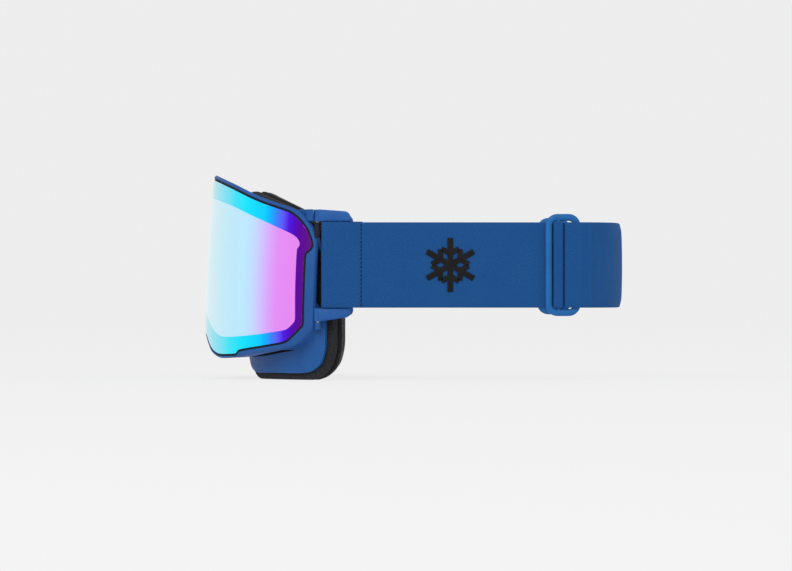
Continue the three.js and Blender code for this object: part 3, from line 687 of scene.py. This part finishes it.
def makeLenses():
    bm = wrapSheet(sheetOf(lens, window), 0)
    outer = piece("outerLens", bm, ["window", "border", "lensBack", "lensBack"],
                  ["lens_outer"], "lens", creaseAngle=1.2)
    thicken(outer, lensLook["thickness"] * mm, 2, lensLook["edge"])
    bm = wrapSheet(sheetOf(grow(window, innerLook["inset"])), innerLook["front"])
    inner = piece("innerLens", bm, ["clear", "clear"], ["lens_inner"], "lens", creaseAngle=1.2)
    thicken(inner, innerLook["thickness"] * mm, 1, innerLook["edge"])
    look = spacerLook
    out, inn = grow(window, look["outer"]), grow(window, look["inner"])
    rows = [lensRow(out, look["front"]), lensRow(out, look["back"]),
            lensRow(inn, look["back"]), lensRow(inn, look["front"])]
    piece("lensSpacer", loft(rows, closed=True), "ventFoam", ["lens_spacer"], "lens",
          bevel=(look["soft"], 2))


def makeSeal():
    look = sealLook
    inner, lip, pad = (grow(lens, look[edge]) for edge in ("inner", "lip", "pad"))
    corners = ((inner, "front"), (lip, "front"), (lip, "back"), (pad, "back"), (pad, "padFront"),
               (inner, "padFront"))
    rows = [lensRow(edge, look[depth]) for edge, depth in corners]
    piece("lensSeal", loft(rows, closed=True), "seal", ["lens_seal"], "root",
          bevel=(look["soft"], 2))


magnetLook = {
    "radius": 2.2, "thickness": 1, "chamfer": 0.25, "lensFront": 1.6, "frameFront": 2.9,
    "seats": [(28, 100.2), (72, 89.2), (45, 18.4)],
}


def makeMagnets():
    seats = [Vector((side * u, z)) for u, z in magnetLook["seats"] for side in (1, -1)]
    for i, seat in enumerate(seats, 1):
        for half, body in (("lens", "lens"), ("frame", "root")):
            front = magnetLook[f"{half}Front"]
            bm = bmesh.new()
            rod(bm, onLens(seat, front), onLens(seat, front + magnetLook["thickness"]),
                magnetLook["radius"] * mm, 32)
            softEdges(bm, magnetLook["chamfer"] * mm)
            piece(f"{half}Magnet{i}", bm, "steel", [f"{half}_magnet_{i}"], body)


makeLenses()
makeSeal()
makeMagnets()
print("lens, seal and magnets made")


# face foam

# each layer is its section: how far outside the flange, and how far forward of it
foamLayers = {
    "faceFoamBase": {
        "section": [(3.3, -0.4), (3.9, -1.6), (4.0, -4.0), (3.4, -5.4),
                    (-10.4, -5.4), (-10.9, -4.0), (-10.9, -1.6), (-10.3, -0.4)],
        "finish": "charcoalFoam", "slot": "charcoal_foam", "stands": "face_foam_base",
        "fill": 0.9, "soft": 0.0008,
    },
    "faceFoamComfort": {
        "section": [(3.4, -6.1), (3.9, -6.9), (3.9, -8.2), (3.4, -8.9),
                    (-10.3, -8.9), (-10.7, -8.2), (-10.7, -6.9), (-10.2, -6.1)],
        "finish": "comfortFoam", "slot": "charcoal_foam", "stands": "face_foam_comfort",
        "fill": 0.8, "soft": 0.0006,
    },
    "faceFleece": {
        "section": [(3.1, -9.5), (3.5, -10.2), (3.2, -11.2), (2.0, -11.9), (-3.4, -12.3),
                    (-8.8, -11.9), (-10.1, -11.2), (-10.4, -10.2), (-10.0, -9.5)],
        "finish": "fleece", "slot": "black_fleece", "stands": "face_fleece", "fill": 0.7, "soft": 0.0007,
    },
}


def makeFaceFoam():
    for name, layer in foamLayers.items():
        rows = []
        for outward, forward in layer["section"]:
            stations = [Vector((p.x, max(p.y, 0))) for p in grow(flange, outward)]
            rows.append(faceRow(stations, forward))
        made = piece(name, loft(rows, closed=True), layer["finish"], [layer["stands"]], "root",
                     creaseAngle=1.0, bevel=(layer["soft"], 2))


def stripBetween(first, last, low, high, front, back):
    # a thin strip inside the wall, from station to station
    side, foot, footIn, _ = wallRows()
    loops = []
    for step in range(first, last + 1, 2):
        i = step % stationCount
        inward = (footIn[i] - foot[i]).normalized()
        corners = [(low, front), (high, front), (high, back), (low, back)]
        loops.append([side[i].lerp(foot[i], share) + inward * (shell["wall"] + depth) * mm
                      for share, depth in corners])
    return loft(loops, closed=False)


# each strip's first and last station, its shares of the wall, and the node that it stands for
ventFoams = {
    "ventFoamTop": (-24, 24, 0.56, 0.92, "vent_foam_top"),
    "ventFoamLowLeft": (124, 164, 0.68, 0.95, "vent_foam_low_left"),
    "ventFoamLowRight": (stationCount - 164, stationCount - 124, 0.68, 0.95, "vent_foam_low_right"),
}
ventFoamLook = {"front": 1.0, "back": 3.0, "soft": 0.0003, "sideHalf": (0.0008, 0.0006), "sideTurn": 149}


def makeVentFoams():
    look = ventFoamLook
    for name, (first, last, low, high, node) in ventFoams.items():
        bm = stripBetween(first, last, low, high, look["front"], look["back"])
        piece(name, bm, "ventFoam", [node], "root", bevel=(look["soft"], 2))
    halfX, halfY = look["sideHalf"]
    for side, name in ((1, "left"), (-1, "right")):
        low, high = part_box(f"vent_foam_side_{name}")
        bm = bmesh.new()
        block(bm, (-halfX, -halfY, low.z), (halfX, halfY, high.z))
        softEdges(bm, look["soft"])
        turn = Matrix.Rotation(side * math.radians(look["sideTurn"]), 3, "Z")
        bmesh.ops.rotate(bm, matrix=turn, verts=bm.verts)
        bmesh.ops.translate(bm, vec=((low.x + high.x) / 2, (low.y + high.y) / 2, 0), verts=bm.verts)
        piece(f"ventFoamSide{name.title()}", bm, "ventFoam", [f"vent_foam_side_{name}"], "root")


makeFaceFoam()
makeVentFoams()
print("foams made")


# outriggers and hinge pins

strapLook = {
    "width": 45, "thickness": 1.3, "centreZ": 60.8, "halfSpan": 86.4, "foldY": -48.5, "stitchY": -27.5,
    "backY": 111.85, "bend": 30, "power": 3.2, "edge": 0.45, "gap": 0.3,
    "stillFrom": 2, "stillTo": 36, "sewnGap": 0.05, "loopBend": 1.8, "tightBend": 0.95, "step": 1.6,
    "peek": 0.35,
}
strapLook["low"] = strapLook["centreZ"] - strapLook["width"] / 2
strapLook["high"] = strapLook["centreZ"] + strapLook["width"] / 2
hinge = {"x": 83.5, "y": -50.5, "radius": 1.6, "knuckle": 2.0, "pin": 0.8, "pinSoft": 0.0002}
outriggerLook = {
    "middleX": 83.7, "thickness": 4.4, "barFront": -46.8, "barBack": -33.8, "back": -33, "bar": 2.5,
    "highRoot": 83.6, "lowRoot": 38.0, "highReach": 6.6, "lowReach": 7.2, "highSlant": 1.0, "lowSlant": 2.2,
    "highCorner": 3.6, "lowCorner": 3.2, "soft": 0.0011, "barSoft": 0.0009,
}


def armOutline(root, reach, slant, corner):
    # side view of an arm: y and z, front to back and round the rear corner
    look = outriggerLook
    front, back = hinge["y"], look["back"]
    top = root + reach
    points = [(front, root), (back, root)]
    sign = 1 if reach > 0 else -1
    rearTop = top - sign * slant
    for step in range(7):
        angle = math.radians(90 * step / 6)
        drop = sign * corner * (1 - math.sin(angle))
        points.append((back - corner + corner * math.cos(angle), rearTop - drop))
    points.append((front, top))
    return points


def makeOutrigger(side, name):
    look = outriggerLook
    bm = bmesh.new()
    inner = look["middleX"] - look["thickness"] / 2
    for points in (armOutline(look["highRoot"], look["highReach"], look["highSlant"], look["highCorner"]),
                   armOutline(look["lowRoot"], -look["lowReach"], look["lowSlant"], look["lowCorner"])):
        face = bm.faces.new([bm.verts.new((inner * mm, y * mm, z * mm)) for y, z in points])
        pull(bm, [face], (look["thickness"] * mm, 0, 0))
    bmesh.ops.recalc_face_normals(bm, faces=bm.faces)
    softEdges(bm, look["soft"], angle=0.7)
    half = look["bar"] / 2
    bar = block(bm, ((look["middleX"] - half) * mm, look["barFront"] * mm, (look["lowRoot"] - 1) * mm),
                ((look["middleX"] + half) * mm, look["barBack"] * mm, (look["highRoot"] + 1) * mm))
    roundOff(bm, bar, look["barSoft"], 3)
    x, y = hinge["x"] * mm, hinge["y"] * mm
    for low, high in ((look["highRoot"] + 0.05, look["highRoot"] + look["highReach"] - 0.2),
                      (look["lowRoot"] - look["lowReach"] + 0.2, look["lowRoot"] - 0.05)):
        rod(bm, (x, y, low * mm), (x, y, high * mm), hinge["knuckle"] * mm)
    toSide(bm, side)
    node = f"outrigger_{name}"
    piece(f"outrigger{name.title()}", bm, "outrigger", [node], node)


def makePins(side, name):
    for level in ("upper", "lower"):
        low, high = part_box(f"hinge_pin_{level}_{name}")
        bm = bmesh.new()
        x, y = side * hinge["x"] * mm, hinge["y"] * mm
        rod(bm, (x, y, low.z), (x, y, high.z), hinge["pin"] * mm)
        softEdges(bm, hinge["pinSoft"])
        piece(f"hingePin{level.title()}{name.title()}", bm, "steel",
              [f"hinge_pin_{level}_{name}"], "root")


# the frame's own lugs, which hold the pins: name, heights and finish. The upper lugs take the black seal
# rubber as painted shade, where the gap under the upper boss lies in shadow
lugs = (("Upper", 75.3, 83.3, "seal"), ("Lower", 26.7, 30.5, "frame"))
lugLook = {"reach": 4, "front": 1.2, "back": 0.8, "soft": 0.0003}
# the boss in front of the upper arm, seen from above
bossLook = {
    "corners": [(74.5, -62.7), (78.6, -57.6), (84.0, -55.2), (85.9, -54.1), (85.9, -52.62), (79, -52.62)],
    "low": 84.0, "high": 90.2, "soft": 0.5,
}


def makeKnuckles(side, name):
    x, y = hinge["x"] * mm, hinge["y"] * mm
    for level, low, high, finish in lugs:
        bm = bmesh.new()
        rod(bm, (x, y, low * mm), (x, y, high * mm), hinge["radius"] * mm)
        block(bm, (x - lugLook["reach"] * mm, y - lugLook["front"] * mm, low * mm),
              (x, y + lugLook["back"] * mm, high * mm))
        softEdges(bm, lugLook["soft"])
        toSide(bm, side)
        # the upper lugs' black finish is painted shade for the gap under the boss
        piece(f"frameLug{level}{name.title()}", bm, finish, ["frame"], "root")
    bm = bmesh.new()
    boss = [bm.verts.new((x * mm, y * mm, bossLook["low"] * mm)) for x, y in bossLook["corners"]]
    top = pull(bm, [bm.faces.new(boss)], (0, 0, (bossLook["high"] - bossLook["low"]) * mm))
    roundOff(bm, boss + top, bossLook["soft"] * mm, 4)
    bmesh.ops.recalc_face_normals(bm, faces=bm.faces)
    toSide(bm, side)
    piece(f"frameBoss{name.title()}", bm, "frame", ["frame"], "root")


for side, name in ((1, "left"), (-1, "right")):
    makeOutrigger(side, name)
    makePins(side, name)
    makeKnuckles(side, name)
print("outriggers made")


# strap

def bentPath(corners, radius, steps=6, gentle=0.5):
    # straight runs with rounded corners, seen from above
    points = [Vector(c) for c in corners]
    path = [points[0]]
    for before, here, after in zip(points, points[1:], points[2:]):
        come, go = (here - before).normalized(), (after - here).normalized()
        turn = math.atan2(come.cross(go), come.dot(go))
        bend = radius if abs(turn) > gentle else radius * 4
        start = here - come * bend * math.tan(abs(turn) / 2)
        centre = start + Vector((-come.y, come.x)) * math.copysign(bend, turn)
        for k in range(steps + 1):
            arm = start - centre
            arm.rotate(Matrix.Rotation(turn * k / steps, 2))
            path.append(centre + arm)
    return path + [points[-1]]


def evenly(path, step):
    # the same path with its long runs cut into short ones
    out = [path[0]]
    for here, after in zip(path, path[1:]):
        count = max(1, round((after - here).length / step))
        out += [here.lerp(after, k / count) for k in range(1, count + 1)]
    return out


def section(columns=12):
    # the band's cross-section: offset across its thickness, and height, with rounded selvedges
    look = strapLook
    half, edge, low, high = look["thickness"] / 2, look["edge"], look["low"], look["high"]
    side = [(half, low + edge + (high - low - 2 * edge) * i / columns) for i in range(columns + 1)]
    back = [(-offset, z) for offset, z in reversed(side)]
    angles = [math.radians(a) for a in range(30, 180, 30)]
    rounds = [(half * math.cos(a), edge * math.sin(a)) for a in angles]
    top = [(offset, high - edge + rise) for offset, rise in rounds]
    bottom = [(-offset, low + edge - rise) for offset, rise in rounds]
    return side + top + back + bottom


def band(path, bow=None):
    # webbing on edge along a path; bow pushes a point back by its place and height
    shape = section()
    loops, lengths = [], []
    run = 0
    for i, here in enumerate(path):
        along = (path[min(i + 1, len(path) - 1)] - path[max(i - 1, 0)]).normalized()
        normal = Vector((-along.y, along.x))
        run += (here - path[i - 1]).length if i else 0
        lengths.append(run)
        loop = []
        for offset, z in shape:
            p = here + normal * offset
            shift = bow(p, z) if bow else 0
            loop.append(Vector((p.x, p.y + shift, z)) * mm)
        loops.append(loop)
    bm = loft(loops, closed=False)
    order = bm.verts.layers.int["order"]
    uv = bm.loops.layers.uv.new("strap")
    for f in bm.faces:
        for loop in f.loops:
            v = loop.vert
            loop[uv].uv = (lengths[v[order]] * mm, v.co.z)
    return bm


sliderLook = {
    "length": 18.5, "height": 54, "bar": 3.7, "endBar": 3.9, "frontSlot": 2.2, "middleBar": 2.1,
    "thickness": 2.4, "frontY": 69.5, "corner": 4.4, "sides": 16, "squareness": 0.8,
}
sliderY = sliderLook["frontY"] + sliderLook["length"] / 2
passOffset = sliderLook["thickness"] / 2 + strapLook["gap"] + strapLook["thickness"] / 2
tailOffset = passOffset + strapLook["gap"] + strapLook["thickness"]
loopOffset = outriggerLook["bar"] / 2 + 0.4 + strapLook["thickness"] / 2
outerX = outriggerLook["middleX"] + loopOffset
middleBarFront = -sliderLook["length"] / 2 + sliderLook["bar"] + sliderLook["frontSlot"]
weaveOut = sliderY + middleBarFront - strapLook["gap"] - strapLook["thickness"] / 2 - 0.1
weaveIn = (sliderY + middleBarFront + sliderLook["middleBar"]
           + strapLook["gap"] + strapLook["thickness"] / 2)
wrapY = weaveIn + strapLook["thickness"] + strapLook["gap"]
splitY = 19  # where the front strap's two pieces meet, at rest in every pose


def loopPath():
    sewn = outerX - strapLook["thickness"] - strapLook["sewnGap"]
    bend = strapLook["foldY"] + strapLook["thickness"] / 2
    innerX, sewnY = outriggerLook["middleX"] - loopOffset, strapLook["stitchY"]
    return evenly(bentPath([
        (sewn, sewnY + 0.6), (sewn, sewnY - 2.6), (innerX, outriggerLook["barBack"] + 0.4),
        (innerX, bend), (outerX, bend), (outerX, sewnY),
    ], strapLook["loopBend"]), 1.5)


def frontPath():
    x = strapLook["halfSpan"]
    return evenly(bentPath([
        (outerX, strapLook["stitchY"]), (outerX, strapLook["stitchY"] + 14),
        (x - passOffset, sliderLook["frontY"] - 14), (x - passOffset, weaveOut),
        (x + passOffset, weaveOut), (x + passOffset, weaveIn),
        (x - tailOffset, weaveIn), (x - tailOffset, sliderY + sliderLook["length"] / 2 + 7),
    ], strapLook["tightBend"]), strapLook["step"])


def rearPath():
    x, look = strapLook["halfSpan"], strapLook
    seam = sliderY + sliderLook["length"] / 2 + 3.2
    layer = (look["thickness"] + look["sewnGap"]) / 2
    lastBar = sliderY + sliderLook["length"] / 2 - 0.4
    wrap = bentPath([
        (x - layer, seam + 2), (x - layer, seam), (x - passOffset, lastBar), (x - passOffset, wrapY),
        (x + passOffset, wrapY), (x + passOffset, lastBar), (x + layer, seam), (x + layer, seam + 2),
    ], look["tightBend"])
    turn, steps = [], 44
    for i in range(3, steps + 1):
        angle = math.radians(90 * i / steps)
        across = (x + layer) * math.cos(angle) ** (2 / look["power"])
        deep = look["bend"] * math.sin(angle) ** (2 / look["power"])
        turn.append(Vector((across, look["backY"] - look["bend"] + deep)))
    half = wrap + [p for p in turn if p.y > seam + 3]
    half[-1].x = 0
    whole = half + [Vector((-p.x, p.y)) for p in half[-2::-1]]
    return evenly(whole, look["step"])


curlLook = {"startY": 96, "run": 16, "bow": 0.5, "lip": 1.1}


def backCurl(p, z):
    # how far the band's edges curl in where it rounds the back
    share = max(0, (p.y - curlLook["startY"]) / curlLook["run"])
    height = (z - strapLook["centreZ"]) / (strapLook["width"] / 2)
    return -share * (curlLook["bow"] * height ** 2 + curlLook["lip"] * height ** 12)


def makeLoop(side, name):
    path = loopPath()
    bm = band(path)
    order = bm.verts.layers.int["order"]
    inner = next(i for i, p in enumerate(path) if p.y < strapLook["foldY"] + 3)
    # the loop's inner layer takes the darkened webbing
    for f in bm.faces:
        if max(v[order] for v in f.verts) <= inner:
            f.material_index = 1
    for v in bm.verts:
        if v[order] < inner and v.co.z > strapLook["centreZ"] * mm:
            v.co.z += strapLook["peek"] * mm
    toSide(bm, side)
    piece(f"strapLoop{name.title()}", bm, ["webbing", "webbingBack"],
          [f"strap_loop_{name}"], f"outrigger_{name}")


def makeFrontStrap(side, name):
    path = frontPath()
    cut = next(i for i, p in enumerate(path) if p.y > splitY)
    path[cut].y = splitY
    parts = {"Fore": path[:cut + 1], "Aft": path[cut:]}
    for part, run in parts.items():
        bm = band(run)
        toSide(bm, side)
        made = piece(f"frontStrap{part}{name.title()}", bm, "webbing", [f"front_strap_{name}"])
        if part == "Fore":
            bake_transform(made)
        else:
            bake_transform(made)


def makeRearStrap():
    piece("rearStrap", band(rearPath(), bow=backCurl), "webbing", ["rear_strap"], "strap_rear")


def makeSlider(side, name):
    look = sliderLook
    half = {"y": (look["length"] - look["bar"]) / 2, "z": (look["height"] - look["endBar"]) / 2}
    corner = look["corner"]
    centres = [(half["y"] - corner, half["z"] - corner), (-half["y"] + corner, half["z"] - corner),
               (-half["y"] + corner, -half["z"] + corner), (half["y"] - corner, -half["z"] + corner)]
    stations = []
    for k, (cy, cz) in enumerate(centres):
        for step in range(9):
            angle = math.radians(90 * k + 90 * step / 8)
            stations.append((Vector((cy, cz)), Vector((math.cos(angle), math.sin(angle)))))
    x, middleZ = strapLook["halfSpan"], strapLook["centreZ"]

    def squared(share):
        return math.copysign(abs(share) ** look["squareness"], share)

    loops = []
    for step in range(look["sides"]):
        angle = 2 * math.pi * step / look["sides"]
        out = look["bar"] / 2 * squared(math.cos(angle))
        deep = look["thickness"] / 2 * squared(math.sin(angle))
        ring = [c + d * (corner + out) for c, d in stations]
        loops.append([Vector((x + deep, sliderY + p.x, middleZ + p.y)) * mm for p in ring])
    bm = loft(loops, closed=True)
    barY = sliderY + middleBarFront + look["middleBar"] / 2
    rod(bm, (x * mm, barY * mm, (middleZ - half["z"]) * mm), (x * mm, barY * mm, (middleZ + half["z"]) * mm),
        look["middleBar"] / 2 * mm)
    toSide(bm, side)
    piece(f"slider{name.title()}", bm, "slider", [f"slider_{name}"], "strap_rear",
          creaseAngle=0.9)


# the row that sews the loop shut
stitchLook = {"count": 20, "inset": 1.6, "half": 0.75, "slant": 0.1, "radius": 0.3}


def makeStitches(side, name):
    look = stitchLook
    bm = bmesh.new()
    x, y = outerX + strapLook["thickness"] / 2, strapLook["stitchY"]
    for i in range(look["count"]):
        z = (strapLook["low"] + look["inset"]
             + (strapLook["width"] - 2 * look["inset"]) * i / (look["count"] - 1))
        rod(bm, (x * mm, (y - look["slant"]) * mm, (z - look["half"]) * mm),
            (x * mm, (y + look["slant"]) * mm, (z + look["half"]) * mm), look["radius"] * mm, 8)
    toSide(bm, side)
    piece(f"loopStitches{name.title()}", bm, "thread", None, f"outrigger_{name}")


# one arm of the badge, along its own axis and to one side, from the notch beside the next arm
badgeLook = {
    "arm": [(5.2, -1.5), (7.4, -5.3), (9.8, -3.9), (8.4, -1.5), (14.2, -1.5),
            (14.2, 1.5), (8.4, 1.5), (9.8, 3.9), (7.4, 5.3), (5.2, 1.5)],
    "notch": 3.0, "thickness": 0.5, "soft": 0.00014, "lift": 0.02,
}


def makeBadge(side, name):
    # lies on the strap, which leans in a little towards the back
    low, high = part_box(f"emblem_{name}")
    look = badgeLook
    centre = (low + high) / 2
    bm = bmesh.new()
    verts = []
    for k in range(6):
        turn = Matrix.Rotation(math.radians(60 * k + 90), 2)
        arm = [Vector((look["notch"], 0))]
        arm[0].rotate(Matrix.Rotation(math.radians(-30), 2))
        arm += [Vector(p) for p in look["arm"]]
        for p in arm:
            p.rotate(turn)
            verts.append(bm.verts.new((0, p.x * mm, p.y * mm)))
    pull(bm, [bm.faces.new(verts)], (look["thickness"] * mm, 0, 0))
    bmesh.ops.recalc_face_normals(bm, faces=bm.faces)
    softEdges(bm, look["soft"], segments=2)
    run = [p for p in frontPath() if p.y < sliderLook["frontY"] - 14]
    start, end = run[-8], run[-1]
    slope = (end.x - start.x) / (end.y - start.y)
    face = start.x + slope * (centre.y / mm - start.y) + strapLook["thickness"] / 2 + look["lift"]
    bmesh.ops.rotate(bm, matrix=Matrix.Rotation(-math.atan(slope), 3, "Z"), verts=bm.verts)
    bmesh.ops.translate(bm, vec=(face * mm, centre.y, centre.z), verts=bm.verts)
    toSide(bm, side)
    piece(f"badge{name.title()}", bm, "badge", [f"emblem_{name}"], "root")


# wavy silicone beads inside the band
gripLook = {
    "share": 0.6, "lift": 0.02, "wave": 0.55, "waveLength": 14, "half": 0.45, "halfHeight": 1.0, "sides": 8,
}


def makeGrips():
    look = gripLook
    whole = [p for p in rearPath() if p.y > strapLook["backY"] - strapLook["bend"] * look["share"]]
    inward = strapLook["thickness"] / 2 + look["lift"]
    for k in range(3):
        low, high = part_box(f"grip_bead_{k + 1}")
        z = (low.z + high.z) / 2 / mm
        loops = []
        run = 0
        for i in range(1, len(whole) - 1):
            along = (whole[i + 1] - whole[i - 1]).normalized()
            run += (whole[i] - whole[i - 1]).length
            normal = Vector((-along.y, along.x))
            middle = whole[i] + normal * inward
            wave = look["wave"] * math.sin(run * 2 * math.pi / look["waveLength"])
            loop = []
            for step in range(look["sides"]):
                angle = 2 * math.pi * step / look["sides"]
                p = middle + normal * look["half"] * math.cos(angle)
                rise = z + wave + look["halfHeight"] * math.sin(angle)
                loop.append(Vector((p.x, p.y + backCurl(p, z), rise)) * mm)
            loops.append(loop)
        piece(f"gripBead{k + 1}", loft(loops, closed=False), "silicone",
              [f"grip_bead_{k + 1}"], "strap_rear")


for side, name in ((1, "left"), (-1, "right")):
    makeLoop(side, name)
    makeFrontStrap(side, name)
    makeSlider(side, name)
    makeStitches(side, name)
    makeBadge(side, name)
makeRearStrap()
makeGrips()
print("strap made")


# stage, light and camera

stageLook = {
    "tone": 0.09, "glow": 0.77, "back": -9.0, "curve": 5.0, "height": 9.0, "front": 9.0, "halfWidth": 22.0,
}
lightLook = {
    "dome": 0.88,
    "keyLight": {"place": (2.4, -0.9, 1.5), "size": 1.6, "power": 31},
    "fillLight": {"place": (0.4, 2.4, 1.6), "size": 1.8, "power": 8},
}
cameraLook = {"distance": 3.0, "viewWidth": 0.4293432, "sensor": 36, "height": 0.050, "y": -0.00916}


def makeStage():
    look = stageLook
    bm = bmesh.new()
    bend = look["curve"]
    profile = [(look["front"], 0), (look["back"] + bend, 0)]
    for step in range(1, 17):
        angle = math.radians(90 * step / 16)
        profile.append((look["back"] + bend - bend * math.sin(angle), bend - bend * math.cos(angle)))
    profile.append((look["back"], look["height"]))
    verts = [bm.verts.new((x, -look["halfWidth"], z)) for x, z in profile]
    edges = [bm.edges.new(pair) for pair in zip(verts, verts[1:])]
    made = bmesh.ops.extrude_edge_only(bm, edges=edges)["geom"]
    far = [g for g in made if isinstance(g, bmesh.types.BMVert)]
    bmesh.ops.translate(bm, vec=(0, 2 * look["halfWidth"], 0), verts=far)
    bmesh.ops.recalc_face_normals(bm, faces=bm.faces)
    mesh = meshOf("studioFloor", bm)
    paint = Paint("studioPaper", Roughness=1.0, Specular_IOR_Level=0.0)
    paint.feed("Base Color", (*[look["tone"]] * 3, 1))
    paint.feed("Emission Color", (1, 1, 1, 1))
    paint.feed("Emission Strength", look["glow"])
    mesh.materials.append(paint.material)
    placed("studioFloor", mesh)


def makeLights():
    world = bpy.data.worlds.new("studio")
    world.use_nodes = True
    dome = world.node_tree.nodes["Background"]
    dome.inputs[0].default_value = (1, 1, 1, 1)
    dome.inputs[1].default_value = lightLook["dome"]
    scene.world = world
    for name in ("keyLight", "fillLight"):
        look = lightLook[name]
        lamp = bpy.data.lights.new(name, "AREA")
        lamp.size, lamp.energy = look["size"], look["power"]
        made = placed(name, lamp)
        made.location = look["place"]
        made.rotation_euler = (-Vector(look["place"])).to_track_quat("-Z", "Y").to_euler()


def makeCamera():
    look = cameraLook
    camera = bpy.data.cameras.new("camera")
    camera.sensor_width = look["sensor"]
    camera.lens = camera.sensor_width * look["distance"] / look["viewWidth"]
    camera.clip_end = 100
    made = placed("camera", camera)
    made.location = (look["distance"], look["y"], look["height"])
    made.rotation_euler = (math.radians(90), 0, math.radians(90))
    scene.camera = made


makeStage()
makeLights()
makeCamera()
scene.view_settings.view_transform = "Standard"
print("stage made")
